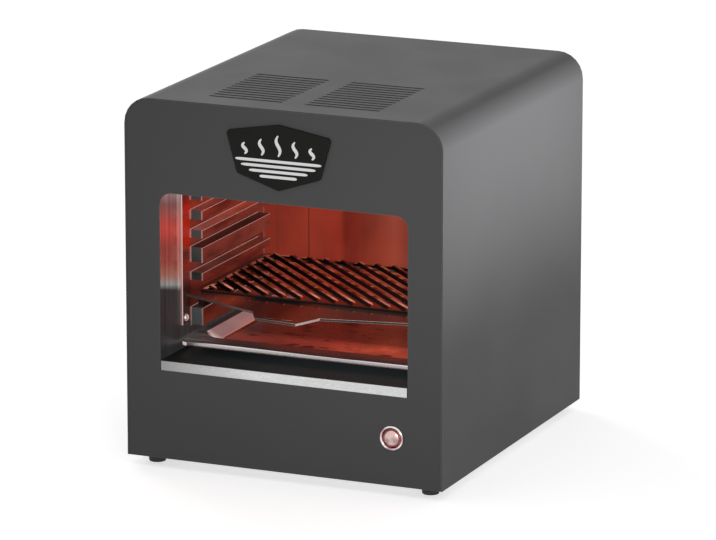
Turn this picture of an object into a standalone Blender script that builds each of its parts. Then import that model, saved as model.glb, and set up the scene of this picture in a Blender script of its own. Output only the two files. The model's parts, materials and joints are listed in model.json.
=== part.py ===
"""Electric top-heat grill: an open-fronted steel housing with a stainless cooking chamber.

Metres, +Z up. The front faces -Y, +X is to the right seen from the front, and the origin is at
the centre of the bounding box's base, where the feet stand. "Depth" is measured from the housing's
front edge towards the back, "height" from the housing's bottom edge, above the feet.
"""

import math

import bmesh
import bpy
from mathutils import Vector

# Shared clearances, sheet sizes and mesh steps
GAP = 0.0003
CUT_OVERRUN = 0.002
SHEET = 0.0015
LINER = 0.001
ARC_STEPS = 6
ROUND_SIDES = 24
SMALL_SIDES = 14
SLOT_STEPS = 2
SLOT_END_SHARE = 0.98
SMOOTH = math.radians(35)

# Housing
WIDTH = 0.360
BODY_HEIGHT = 0.388
DEPTH = 0.396
TOP_RADIUS = 0.0285
PANEL_SET = 0.0005
PANEL_FLANGE = 0.012

# Window in the front panel, and the strip along its foot
WINDOW_SIDE = 0.039
WINDOW_BOTTOM = 0.096
WINDOW_TOP_MARGIN = 0.100
WINDOW_RADIUS = 0.014
STRIP_HEIGHT = 0.0105
STRIP_THICKNESS = 0.0018
STRIP_END_GAP = 0.0008

# Vent slots in the top
VENT_COUNT = 12
VENT_PITCH = 0.0108
VENT_SLOT = 0.0050
VENT_LENGTH = 0.0846
VENT_INNER = 0.0123
VENT_SHIFT = -0.0022
VENT_FIRST_DEPTH = 0.036

# Shield-shaped badge plate
BADGE_SHOULDER_HALF = 0.0595
BADGE_HIP_HALF = 0.047
BADGE_TOP_MARGIN = 0.0155
BADGE_HEIGHT = 0.070
BADGE_PEAK = 0.010
BADGE_POINT = 0.0155
BADGE_RADIUS = 0.0045
BADGE_THICKNESS = 0.003
BADGE_BEVEL = 0.0006
BADGE_BORDER = 0.0026
BADGE_RECESS = 0.0004
BADGE_SHIFT = -0.0030

# Feet and their screws
FOOT_HEIGHT = 0.0105
FOOT_RADIUS = 0.010
FOOT_TIP_RADIUS = 0.0085
FOOT_EDGE = 0.0010
FOOT_SIDE = 0.023
FOOT_FRONT_DEPTH = 0.025
FOOT_REAR_SETBACK = 0.042
FOOT_POCKET = 0.0050
FOOT_POCKET_DEPTH = 0.0040
SCREW_RADIUS = 0.0020
SCREW_HOLE = 0.0023
SCREW_HEAD_RADIUS = 0.0042
SCREW_HEAD = 0.0026
SCREW_CROWN = 0.0009

# Base plate, standing on the panels' bottom flanges
BASE_SHEET = 0.0012
BASE_FLANGE = 0.014
BASE_COLLAR = 0.0030
BASE_COLLAR_RADIUS = 0.0040

# Rear panel
REAR_SLOT_COUNT = 8
REAR_SLOT_PITCH = 0.012
REAR_SLOT = 0.0042
REAR_SLOT_LENGTH = 0.070
REAR_SLOT_INNER = 0.020
REAR_SLOT_TOP_MARGIN = 0.038
REAR_SCREW_SIDE = 0.050
REAR_SCREW_SHANK = 0.0070

# Cooking chamber
CHAMBER_BACK_MARGIN = 0.0975
CHAMBER_SILL = 0.011
CHAMBER_ROOF_MARGIN = 0.066
WALL_DROP = 0.002
WALL_RISE = 0.010
WALL_FLANGE = 0.014
ROOF_SKIRT = 0.010
SHIELD_RISE = 0.030
SHIELD_SKIRT = 0.050
SIDE_INSULATION = 0.016
SUPPORT_SIDE = 0.026
SUPPORT_TOE = 0.020
SUPPORT_FRONT = 0.090
SUPPORT_BACK_MARGIN = 0.0285

# Racks: ridges pressed into a sheet, from the lowest up, with the grooves between them
RACK_SHEET = 0.0015
RACK_FRONT = 0.050
RACK_BACK_MARGIN = 0.0365
RACK_HEM = 0.0026
RACK_LIFT = 0.0205
RACK_FRONT_RISE = 0.0055
RACK_TOP_MARGIN = 0.0444
RACK_MARGIN = 0.0015
RIDGE_REACH = 0.0142
RIDGE_FRONT = 0.073
RIDGE_BACK_SETBACK = 0.016
RIDGE_SHARES = (0.129, 0.057, 0.111, 0.060, 0.068, 0.074)
GROOVE_SHARES = (0.203, 0.075, 0.069, 0.076, 0.077)
BOLT_FRONT_SETBACK = 0.010
BOLT_BACK_SETBACK = 0.008
BOLT_RISE = 0.012
BOLT_HEAD_RADIUS = 0.0040
BOLT_HEAD = 0.0027
BOLT_SHANK = 0.0072

# Heating element and its carrier bars
ROD_RADIUS = 0.004
ROD_DROP = 0.014
ROD_SIDE = 0.036
ROD_LEGS = 8
ROD_FRONT = 0.045
ROD_BACK_MARGIN = 0.0365
ROD_TAIL_OUT = 0.0135
ROD_BEND_STEPS = 6
ROD_HOLE_CLEARANCE = 0.0006
BAR_THICKNESS = 0.003
BAR_WIDTH = 0.010
BAR_INSET = 0.040
END_RADIUS = 0.0055
END_LENGTH = 0.014
PIN_RADIUS = 0.0020
PIN_LENGTH = 0.009

# Thermal cut-out on the chamber's back
CUTOUT_X = 0.030
CUTOUT_DROP = 0.072
CUTOUT_RADIUS = 0.009
CUTOUT_THICKNESS = 0.010
CUTOUT_CAP_RADIUS = 0.007

# Push button
BUTTON_SIDE = 0.0563
BUTTON_HEIGHT = 0.0518
BUTTON_HOLE = 0.0113
BEZEL_RADIUS = 0.0135
BEZEL_LIP = 0.0104
BEZEL_PROUD = 0.0024
BEZEL_ROUND_SHARES = ((0.0, 0.95), (0.25, 1.0), (0.6, 0.95), (0.87, 0.65), (1.0, 0.2))
BARREL_RADIUS = 0.0110
BARREL_BORE = 0.0100
BARREL_BACK = 0.028
BARREL_MOUTH = 0.0005
NUT_ACROSS_FLATS = 0.027
NUT_THICKNESS = 0.004
LENS_WIDTH = 0.0014
LENS_PROUD = 0.0006
LENS_BACK = 0.006
CAP_PROUD = 0.0030
CAP_ROUND_SHARES = ((0.45, 0.96), (0.75, 0.82), (0.92, 0.55), (1.0, 0.15))
CAP_BACK = 0.009
BUTTON_TRAVEL = 0.0015
SWITCH_BODY_BACK = 0.036
SWITCH_TAIL_RADIUS = 0.0080

# Mains inlet, terminal block and wires
INLET_SIDE = 0.070
INLET_HEIGHT = 0.046
INLET_FLANGE_HALF = 0.0245
INLET_FLANGE_RISE = 0.0135
INLET_PROUD = 0.0025
INLET_BODY_HALF = 0.0138
INLET_BODY_RISE = 0.0103
INLET_BODY_LENGTH = 0.022
INLET_WALL = 0.0018
INLET_FLOOR = 0.0040
INLET_PIN_WIDTH = 0.0020
INLET_PIN_RISE = 0.0040
INLET_PIN_SPREAD = 0.0070
INLET_PIN_OFFSET = 0.0020
INLET_PIN_SETBACK = 0.0015
INLET_SCREW_X = 0.0195
INLET_SCREW_SHANK = 0.006
BLOCK_OFFSET = 0.050
BLOCK_SETBACK = 0.066
BLOCK_CELLS = 4
BLOCK_CELL = 0.011
BLOCK_WALL = 0.002
BLOCK_RISE = 0.017
BLOCK_STEP = 0.004
BLOCK_LENGTH = 0.022
WIRE_RADIUS = 0.0016
WIRE_LEAD = 0.012
WIRE_STEPS = 6

# Grate: a folded sheet frame with a nose, and the bar insert lying on it
GRATE_SIDE_GAP = 0.008
GRATE_BACK_GAP = 0.001
GRATE_RISE_SHARE = 0.686
GRATE_SHEET = 0.0025
GRATE_LEFT_SHOULDER = 0.0487
GRATE_RIGHT_SHOULDER = 0.0275
NOSE_ROOT_HALF = 0.038
NOSE_ROOT_DEPTH = 0.0085
NOSE_HALF = 0.0245
NOSE_LEFT_OUT = 0.0150
NOSE_RIGHT_OUT = 0.0217
NOSE_SLOT_LENGTH = 0.011
NOSE_SLOT_WIDTH = 0.003
NOSE_SLOT_X = 0.010
NOSE_SLOT_SETBACK = 0.009
RUNNER_WIDTH = 0.006
RUNNER_FRONT = 0.078
RUNNER_BACK_SETBACK = 0.005
INSERT_SIDE = 0.011
INSERT_FRONT = 0.061
INSERT_BACK_SETBACK = 0.009
INSERT_RISE = 0.0025
INSERT_RIM = 0.005
INSERT_LEDGE = 0.006
BAR_PITCH = 0.020
BAR_HALF = 0.0019
BAR_RISE = 0.0055
BAR_SLOPE = 0.006
BAR_SLOPE_LIMIT_SHARE = 0.3
BAR_LIFT = 0.0004

# Drip pan
PAN_SIDE_GAP = 0.0025
PAN_FRONT = 0.044
PAN_BACK_GAP = 0.0085
PAN_RISE = 0.011
PAN_LIP = 0.005
PAN_SHEET = 0.001
PAN_FLANGE_SIDE = 0.0095
PAN_FLANGE_FRONT = 0.026
PAN_SLOPE = 0.014
PAN_CREASE = 0.004
PAN_CREASE_RISE = 0.0012
PAN_CORNER = 0.024
PAN_LIP_CORNER = 0.008

# Places derived from the sizes above
HALF_WIDTH = WIDTH / 2
WINDOW_HALF = HALF_WIDTH - WINDOW_SIDE
WINDOW_TOP = BODY_HEIGHT - WINDOW_TOP_MARGIN
BADGE_TIP = BODY_HEIGHT - BADGE_TOP_MARGIN - BADGE_HEIGHT
FOOT_X = HALF_WIDTH - FOOT_SIDE
FOOT_REAR_DEPTH = DEPTH - FOOT_REAR_SETBACK
PANEL_BACK = PANEL_SET + SHEET
INNER_HALF = HALF_WIDTH - SHEET - GAP
INNER_HEIGHT = BODY_HEIGHT - SHEET - GAP
REAR_OUTER = DEPTH - PANEL_SET
REARMOST = REAR_OUTER + GAP + INLET_PROUD + GAP + SCREW_HEAD
FRONT_Y = (NOSE_RIGHT_OUT - REARMOST) / 2
BASE_UNDERSIDE = SHEET + GAP
BASE_TOP = BASE_UNDERSIDE + BASE_SHEET
BASE_HALF = INNER_HALF - SHEET - GAP
BASE_FRONT = PANEL_BACK + GAP
BASE_BACK = DEPTH - BASE_FRONT
REAR_SLOT_TOP = BODY_HEIGHT - REAR_SLOT_TOP_MARGIN
REAR_SCREW_X = HALF_WIDTH - REAR_SCREW_SIDE
CHAMBER_FRONT = PANEL_BACK + GAP
CHAMBER_BACK = DEPTH - CHAMBER_BACK_MARGIN
CHAMBER_FLOOR = WINDOW_BOTTOM + CHAMBER_SILL
CHAMBER_ROOF = BODY_HEIGHT - CHAMBER_ROOF_MARGIN
WALL_FOOT = WINDOW_BOTTOM - WALL_DROP
WALL_TOP = CHAMBER_ROOF + WALL_RISE
SHIELD_TOP = CHAMBER_ROOF + SHIELD_RISE
SHIELD_FOOT = SHIELD_TOP - SHIELD_SKIRT
SUPPORT_X = WINDOW_HALF - SUPPORT_SIDE
SUPPORT_BACK = CHAMBER_BACK - SUPPORT_BACK_MARGIN
WALL_BACK = CHAMBER_BACK - GAP
FLOOR_HALF = WINDOW_HALF - GAP
RACK_OUTER = WINDOW_HALF - GAP
RACK_INNER = RACK_OUTER - RACK_SHEET
RACK_BACK = CHAMBER_BACK - RACK_BACK_MARGIN
RACK_FOOT = CHAMBER_FLOOR + RACK_LIFT
RACK_TOP = CHAMBER_ROOF - RACK_TOP_MARGIN
RIDGE_FACE = RACK_INNER - RIDGE_REACH
RIDGE_BACK = RACK_BACK - RIDGE_BACK_SETBACK
RIDGE_SPAN = (RACK_TOP - RACK_FOOT - 2 * RACK_MARGIN) / (sum(RIDGE_SHARES) + sum(GROOVE_SHARES))
RAIL_TOP = RACK_FOOT + RACK_MARGIN + RIDGE_SHARES[0] * RIDGE_SPAN
RAIL_GROOVE = GROOVE_SHARES[0] * RIDGE_SPAN
BOLT_FRONT_DEPTH = RACK_FRONT + BOLT_FRONT_SETBACK
BOLT_BACK_DEPTH = RACK_BACK - BOLT_BACK_SETBACK
BOLT_HEIGHT = RACK_FOOT + BOLT_RISE
ROOF_TOP = CHAMBER_ROOF + LINER
ROD_HEIGHT = CHAMBER_ROOF - ROD_DROP
ROD_HALF_SPAN = WINDOW_HALF - ROD_SIDE
ROD_PITCH = 2 * ROD_HALF_SPAN / (ROD_LEGS - 1)
ROD_BACK = CHAMBER_BACK - ROD_BACK_MARGIN
ROD_TAIL = CHAMBER_BACK + ROD_TAIL_OUT
CUTOUT_HEIGHT = CHAMBER_ROOF - CUTOUT_DROP
BUTTON_X = HALF_WIDTH - BUTTON_SIDE
INLET_X = HALF_WIDTH - INLET_SIDE
BLOCK_X = INLET_X - BLOCK_OFFSET
BLOCK_DEPTH = DEPTH - BLOCK_SETBACK
GRATE_HALF = WINDOW_HALF - GRATE_SIDE_GAP
GRATE_BACK = RIDGE_BACK - GRATE_BACK_GAP
GRATE_TOP = RAIL_TOP + GRATE_RISE_SHARE * RAIL_GROOVE
RUNNER_BACK = GRATE_BACK - RUNNER_BACK_SETBACK
INSERT_HALF = GRATE_HALF - INSERT_SIDE
INSERT_BACK = GRATE_BACK - INSERT_BACK_SETBACK
INSERT_FOOT = GRATE_TOP + GAP
PAN_HALF = WINDOW_HALF - PAN_SIDE_GAP
PAN_BACK = CHAMBER_BACK - PAN_BACK_GAP
PAN_RIM = CHAMBER_FLOOR + PAN_RISE


def y_at(depth):
    """Place along Y of a depth behind the housing's front edge."""
    return FRONT_Y + depth


def z_at(height):
    """Place along Z of a height above the housing's bottom edge."""
    return FOOT_HEIGHT + height


def clear_scene():
    for item in list(bpy.data.objects):
        bpy.data.objects.remove(item, do_unlink=True)


def make_material(name, colour, roughness, metallic, glow=0.0):
    material = bpy.data.materials.new(name)
    material.use_nodes = True
    shader = material.node_tree.nodes["Principled BSDF"]
    shader.inputs["Base Color"].default_value = (*colour, 1.0)
    shader.inputs["Roughness"].default_value = roughness
    shader.inputs["Metallic"].default_value = metallic
    shader.inputs["Emission Color"].default_value = (*colour, 1.0)
    shader.inputs["Emission Strength"].default_value = glow
    material.diffuse_color = (*colour, 1.0)
    return material


def finish(name, bm, material, smooth_angle=None):
    """Turns a closed bmesh into a named object, with its faces pointing out."""
    bmesh.ops.recalc_face_normals(bm, faces=bm.faces)
    mesh = bpy.data.meshes.new(name)
    bm.to_mesh(mesh)
    bm.free()
    if smooth_angle is not None:
        mesh.shade_smooth()
        mesh.set_sharp_from_angle(angle=smooth_angle)
    mesh.materials.append(material)
    item = bpy.data.objects.new(name, mesh)
    bpy.context.collection.objects.link(item)
    return item


def loft(bm, loops):
    """Skins loops of equal length one after the other and caps the first and the last."""
    rings = [[bm.verts.new(point) for point in loop] for loop in loops]
    for lower, upper in zip(rings, rings[1:]):
        count = len(lower)
        for i in range(count):
            j = (i + 1) % count
            bm.faces.new((lower[i], lower[j], upper[j], upper[i]))
    bm.faces.new(rings[0])
    bm.faces.new(rings[-1])


def prism(outline, axis, low, high, bm=None):
    """Extrudes a closed outline, given in the two other axes in X, Y, Z order, along an axis."""
    bm = bm or bmesh.new()
    others = [i for i in range(3) if i != axis]

    def lift(point, level):
        place = [0.0, 0.0, 0.0]
        place[others[0]], place[others[1]] = point
        place[axis] = level
        return place

    loft(bm, [[lift(point, level) for point in outline] for level in (low, high)])
    return bm


def box(low, high, bm=None):
    outline = [(low[0], low[1]), (high[0], low[1]), (high[0], high[1]), (low[0], high[1])]
    return prism(outline, 2, low[2], high[2], bm)


def rounded(corners, radii, steps=ARC_STEPS):
    """Closed outline through the corners, each one rounded with its own radius (0 keeps it)."""
    points = []
    count = len(corners)
    for i, corner in enumerate(corners):
        radius = radii[i]
        here = Vector(corner)
        if radius == 0:
            points.append(tuple(here))
            continue
        back = (Vector(corners[i - 1]) - here).normalized()
        ahead = (Vector(corners[(i + 1) % count]) - here).normalized()
        half = back.angle(ahead) / 2
        centre = here + (back + ahead).normalized() * radius / math.sin(half)
        first = here + back * radius / math.tan(half) - centre
        last = here + ahead * radius / math.tan(half) - centre
        start = math.atan2(first.y, first.x)
        turn = math.atan2(last.y, last.x) - start
        turn = (turn + math.pi) % (2 * math.pi) - math.pi
        for step in range(steps + 1):
            angle = start + turn * step / steps
            points.append((centre.x + radius * math.cos(angle), centre.y + radius * math.sin(angle)))
    return points


def rectangle(half_width, low, high, bottom_radius, top_radius, centre=0.0):
    corners = [
        (centre - half_width, low),
        (centre + half_width, low),
        (centre + half_width, high),
        (centre - half_width, high),
    ]
    return rounded(corners, (bottom_radius, bottom_radius, top_radius, top_radius))


def turned(profile, place, axis, sides=ROUND_SIDES, bm=None):
    """Turns a profile of (radius, distance along the axis) about an axis through a place.

    A profile whose first and last radius are 0 closes on its poles, any other closes on itself.
    """
    bm = bm or bmesh.new()
    along = Vector(axis).normalized()
    side = along.orthogonal().normalized()
    across = along.cross(side)
    centre = Vector(place)
    rings = []
    for radius, distance in profile:
        middle = centre + along * distance
        if radius == 0:
            rings.append([bm.verts.new(middle)])
            continue
        angles = [2 * math.pi * i / sides for i in range(sides)]
        spokes = [side * math.cos(a) + across * math.sin(a) for a in angles]
        rings.append([bm.verts.new(middle + spoke * radius) for spoke in spokes])
    pairs = list(zip(rings, rings[1:]))
    if profile[0][0] != 0:
        pairs.append((rings[-1], rings[0]))
    for lower, upper in pairs:
        for i in range(sides):
            j = (i + 1) % sides
            corners = [lower[i % len(lower)], lower[j % len(lower)]]
            corners += [upper[j % len(upper)], upper[i % len(upper)]]
            bm.faces.new(list(dict.fromkeys(corners)))
    return bm


def cylinder(place, axis, radius, low, high, sides=SMALL_SIDES, bm=None):
    profile = [(0.0, low), (radius, low), (radius, high), (0.0, high)]
    return turned(profile, place, axis, sides, bm)


CUTTER_MATERIAL = make_material("cutter", (0.5, 0.5, 0.5), 0.5, 0.0)


def combine(item, label, bm, operation):
    """Adds a Boolean with a hidden operand made from a closed bmesh, of one or more bodies."""
    operand = finish(f"{item.name}_{label}", bm, CUTTER_MATERIAL)
    operand.hide_render = True
    operand.display_type = "WIRE"
    modifier = item.modifiers.new(label, "BOOLEAN")
    modifier.operation = operation
    modifier.solver = "EXACT"
    modifier.object = operand
    return operand


def cut(item, label, bm):
    return combine(item, label, bm, "DIFFERENCE")


def join(item, label, bm):
    return combine(item, label, bm, "UNION")


def slot_rows(shift, first_x, length, slot, count, pitch, flat_axis, row, low, high):
    """Two blocks of slots with round ends, mirrored about a line at shift, cut from low to high."""
    bm = bmesh.new()
    for sign in (-1, 1):
        centre = shift + sign * (first_x + length / 2)
        for i in range(count):
            middle = row + i * pitch
            corners = rectangle(length / 2, middle - slot / 2, middle + slot / 2, 0, 0, centre)
            radius = slot / 2 * SLOT_END_SHARE
            outline = rounded(corners, (radius,) * len(corners), SLOT_STEPS)
            prism(outline, flat_axis, low, high, bm)
    return bm


def panel_outline(inset):
    half = INNER_HALF - inset
    radius = TOP_RADIUS - SHEET - GAP - inset
    return rectangle(half, z_at(inset), z_at(INNER_HEIGHT - inset), 0, radius)


def flanged_panel(name, skin, flange_end, inward, material):
    """A panel with a flange folded back all round; inward is +1 or -1 along Y."""
    outer = panel_outline(0.0)
    inner = panel_outline(SHEET)
    levels = (
        (outer, skin),
        (outer, flange_end),
        (inner, flange_end),
        (inner, skin + inward * SHEET),
    )
    bm = bmesh.new()
    loft(bm, [[(x, y_at(depth), z) for x, z in outline] for outline, depth in levels])
    return finish(name, bm, material, SMOOTH)


def make_housing(paint):
    outer = rectangle(HALF_WIDTH, z_at(0.0), z_at(BODY_HEIGHT), 0, TOP_RADIUS)
    inner_radius = TOP_RADIUS - SHEET
    inner = rectangle(HALF_WIDTH - SHEET, z_at(0.0), z_at(BODY_HEIGHT - SHEET), 0, inner_radius)
    outline = outer[1:] + outer[:1] + inner[:1] + inner[:0:-1]
    wrap = finish("housing_wrap", prism(outline, 1, y_at(0.0), y_at(DEPTH)), paint, SMOOTH)
    low = z_at(BODY_HEIGHT - SHEET - CUT_OVERRUN)
    high = z_at(BODY_HEIGHT + CUT_OVERRUN)
    first = y_at(VENT_FIRST_DEPTH)
    sizes = (VENT_SHIFT, VENT_INNER, VENT_LENGTH, VENT_SLOT, VENT_COUNT, VENT_PITCH)
    slots = slot_rows(*sizes, 2, first, low, high)
    cut(wrap, "vents", slots)


def make_front_panel(paint):
    panel = flanged_panel("front_panel", PANEL_SET, PANEL_FLANGE, 1, paint)
    low = y_at(PANEL_SET - CUT_OVERRUN)
    high = y_at(PANEL_BACK + CUT_OVERRUN)
    window = rectangle(WINDOW_HALF, z_at(WINDOW_BOTTOM), z_at(WINDOW_TOP), 0, WINDOW_RADIUS)
    cut(panel, "window", prism(window, 1, low, high))
    place = (BUTTON_X, 0.0, z_at(BUTTON_HEIGHT))
    cut(panel, "button_hole", cylinder(place, (0, 1, 0), BUTTON_HOLE, low, high, ROUND_SIDES))


def make_strip(steel):
    half = WINDOW_HALF - STRIP_END_GAP
    low = WINDOW_BOTTOM + GAP
    front = (-half, y_at(CHAMBER_FRONT - GAP - STRIP_THICKNESS), z_at(low))
    back = (half, y_at(CHAMBER_FRONT - GAP), z_at(low + STRIP_HEIGHT - GAP))
    finish("sill_strip", box(front, back), steel)


def badge_loop(inset, depth):
    """The shield's outline at a depth, drawn in by an inset all round."""
    peak = BADGE_TIP + BADGE_HEIGHT - inset
    tip = BADGE_TIP + inset
    shoulder = BADGE_SHOULDER_HALF - inset
    hip = BADGE_HIP_HALF - inset
    corners = [
        (0.0, tip),
        (hip, tip + BADGE_POINT),
        (shoulder, peak - BADGE_PEAK),
        (0.0, peak),
        (-shoulder, peak - BADGE_PEAK),
        (-hip, tip + BADGE_POINT),
    ]
    outline = rounded(corners, (BADGE_RADIUS - inset,) * len(corners))
    return [(BADGE_SHIFT + x, y_at(depth), z_at(height)) for x, height in outline]


def make_badge(black):
    """A shield with a bevelled edge and a sunk field inside its border."""
    back = PANEL_SET - GAP
    front = back - BADGE_THICKNESS
    loops = [
        badge_loop(0.0, back),
        badge_loop(0.0, front + BADGE_BEVEL),
        badge_loop(BADGE_BEVEL, front),
        badge_loop(BADGE_BORDER, front),
        badge_loop(BADGE_BORDER + BADGE_RECESS, front + BADGE_RECESS),
    ]
    bm = bmesh.new()
    loft(bm, loops)
    finish("badge_plate", bm, black, SMOOTH)


def make_rear_panel(paint):
    panel = flanged_panel("rear_panel", REAR_OUTER, DEPTH - PANEL_FLANGE, -1, paint)
    low = y_at(REAR_OUTER - SHEET - CUT_OVERRUN)
    high = y_at(REAR_OUTER + CUT_OVERRUN)
    lowest = z_at(REAR_SLOT_TOP - (REAR_SLOT_COUNT - 1) * REAR_SLOT_PITCH)
    sizes = (0.0, REAR_SLOT_INNER, REAR_SLOT_LENGTH, REAR_SLOT, REAR_SLOT_COUNT, REAR_SLOT_PITCH)
    slots = slot_rows(*sizes, 1, lowest, low, high)
    cut(panel, "vents", slots)
    half = INLET_BODY_HALF + GAP
    rise = INLET_BODY_RISE + GAP
    holes = box(
        (-INLET_X - half, low, z_at(INLET_HEIGHT - rise)),
        (-INLET_X + half, high, z_at(INLET_HEIGHT + rise)),
    )
    for sign in (-1, 1):
        place = (-INLET_X + sign * INLET_SCREW_X, 0.0, z_at(INLET_HEIGHT))
        cylinder(place, (0, 1, 0), SCREW_HOLE, low, high, SMALL_SIDES, holes)
        place = (sign * REAR_SCREW_X, 0.0, z_at(BASE_TOP + BASE_FLANGE / 2))
        cylinder(place, (0, 1, 0), SCREW_HOLE, low, high, SMALL_SIDES, holes)
    cut(panel, "holes", holes)


def foot_places():
    for front_name, depth in (("front", FOOT_FRONT_DEPTH), ("rear", FOOT_REAR_DEPTH)):
        for side_name, sign in (("left", -1), ("right", 1)):
            yield f"{front_name}_{side_name}", (sign * FOOT_X, y_at(depth), 0.0)


def make_base_plate(steel):
    def loop(half, front, back, height):
        corners = [(-half, front), (half, front), (half, back), (-half, back)]
        return [(x, y_at(depth), z_at(height)) for x, depth in corners]

    half = BASE_HALF - BASE_SHEET
    front = BASE_FRONT + BASE_SHEET
    back = BASE_BACK - BASE_SHEET
    bm = bmesh.new()
    loops = [
        loop(BASE_HALF, BASE_FRONT, BASE_BACK, BASE_UNDERSIDE),
        loop(BASE_HALF, BASE_FRONT, BASE_BACK, BASE_TOP + BASE_FLANGE),
        loop(half, front, back, BASE_TOP + BASE_FLANGE),
        loop(half, front, back, BASE_TOP),
    ]
    loft(bm, loops)
    plate = finish("base_plate", bm, steel)
    collars = bmesh.new()
    holes = bmesh.new()
    up = (0, 0, 1)
    under = z_at(BASE_UNDERSIDE - CUT_OVERRUN)
    middle = z_at(BASE_TOP - BASE_SHEET / 2)
    top = z_at(BASE_TOP + BASE_COLLAR)
    for _, place in foot_places():
        cylinder(place, up, BASE_COLLAR_RADIUS, middle, top, SMALL_SIDES, collars)
        cylinder(place, up, SCREW_HOLE, under, top + CUT_OVERRUN, SMALL_SIDES, holes)
    low = y_at(BASE_BACK - BASE_SHEET - CUT_OVERRUN)
    high = y_at(BASE_BACK + CUT_OVERRUN)
    for sign in (-1, 1):
        place = (sign * REAR_SCREW_X, 0.0, z_at(BASE_TOP + BASE_FLANGE / 2))
        cylinder(place, (0, 1, 0), SCREW_HOLE, low, high, SMALL_SIDES, holes)
    join(plate, "collars", collars)
    cut(plate, "holes", holes)


def screw(name, place, axis, shank, steel):
    """A pan-head screw: its head's seat is at the place, its shank runs along the axis."""
    profile = [
        (0.0, -SCREW_HEAD),
        (SCREW_HEAD_RADIUS - SCREW_CROWN, -SCREW_HEAD),
        (SCREW_HEAD_RADIUS, SCREW_CROWN - SCREW_HEAD),
        (SCREW_HEAD_RADIUS, 0.0),
        (SCREW_RADIUS, 0.0),
        (SCREW_RADIUS, shank),
        (0.0, shank),
    ]
    finish(name, turned(profile, place, axis, SMALL_SIDES), steel, SMOOTH)


def make_feet(rubber, steel):
    top = z_at(BASE_UNDERSIDE - GAP)
    profile = [
        (FOOT_POCKET, 0.0),
        (FOOT_TIP_RADIUS, 0.0),
        (FOOT_TIP_RADIUS + FOOT_EDGE / 2, FOOT_EDGE),
        (FOOT_RADIUS, top),
        (SCREW_HOLE, top),
        (SCREW_HOLE, FOOT_POCKET_DEPTH),
        (FOOT_POCKET, FOOT_POCKET_DEPTH),
    ]
    shank = z_at(BASE_TOP + BASE_COLLAR) - FOOT_POCKET_DEPTH
    for name, place in foot_places():
        finish(f"foot_{name}", turned(profile, place, (0, 0, 1)), rubber, SMOOTH)
        seat = (place[0], place[1], FOOT_POCKET_DEPTH - GAP)
        screw(f"foot_screw_{name}", seat, (0, 0, 1), shank, steel)


def make_chamber(steel, black):
    make_chamber_walls(steel)
    holes = bmesh.new()
    low = y_at(CHAMBER_BACK - CUT_OVERRUN)
    high = y_at(CHAMBER_BACK + LINER + CUT_OVERRUN)
    radius = ROD_RADIUS + ROD_HOLE_CLEARANCE
    for sign in (-1, 1):
        place = (sign * ROD_HALF_SPAN, 0.0, z_at(ROD_HEIGHT))
        cylinder(place, (0, 1, 0), radius, low, high, SMALL_SIDES, holes)
    half = WINDOW_HALF + LINER + WALL_FLANGE
    back = box(
        (-half, y_at(CHAMBER_BACK), z_at(WALL_FOOT)),
        (half, y_at(CHAMBER_BACK + LINER), z_at(WALL_TOP)),
    )
    cut(finish("chamber_back", back, steel), "rod_holes", holes)
    front = y_at(CHAMBER_FRONT)
    rear = y_at(WALL_BACK)
    top = z_at(CHAMBER_FLOOR)
    outline = [
        (front, z_at(WALL_FOOT)),
        (front + LINER, z_at(WALL_FOOT)),
        (front + LINER, top - LINER),
        (rear, top - LINER),
        (rear, top),
        (front, top),
    ]
    finish("chamber_floor", prism(outline, 0, -FLOOR_HALF, FLOOR_HALF), black)
    outline = arch_outline(FLOOR_HALF, LINER, CHAMBER_ROOF - ROOF_SKIRT, ROOF_TOP)
    finish("reflector", prism(outline, 1, front, rear), steel)


def arch_outline(half, sheet, foot, top):
    """An inverted trough, seen along Y."""
    return [
        (-half, z_at(foot)),
        (-half, z_at(top)),
        (half, z_at(top)),
        (half, z_at(foot)),
        (half - sheet, z_at(foot)),
        (half - sheet, z_at(top - sheet)),
        (sheet - half, z_at(top - sheet)),
        (sheet - half, z_at(foot)),
    ]


def make_chamber_walls(steel):
    """Side walls of the chamber, with flanges turned out against the front panel and the back."""
    inner = WINDOW_HALF
    outer = WINDOW_HALF + LINER
    tip = outer + WALL_FLANGE
    front = y_at(CHAMBER_FRONT)
    back = y_at(WALL_BACK)
    outline = [
        (inner, front),
        (tip, front),
        (tip, front + LINER),
        (outer, front + LINER),
        (outer, back - LINER),
        (tip, back - LINER),
        (tip, back),
        (inner, back),
    ]
    for name, sign in (("left", -1), ("right", 1)):
        mirrored = [(sign * x, y) for x, y in outline]
        wall = prism(mirrored, 2, z_at(WALL_FOOT), z_at(WALL_TOP))
        wall = finish(f"chamber_wall_{name}", wall, steel)
        cut(wall, "bolt_holes", bolt_holes(sign))


def bolt_holes(sign):
    bm = bmesh.new()
    for depth in (BOLT_FRONT_DEPTH, BOLT_BACK_DEPTH):
        place = (0.0, y_at(depth), z_at(BOLT_HEIGHT))
        low = RACK_INNER - CUT_OVERRUN
        high = WINDOW_HALF + LINER + CUT_OVERRUN
        cylinder(place, (sign, 0, 0), SCREW_HOLE, low, high, SMALL_SIDES, bm)
    return bm


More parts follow.
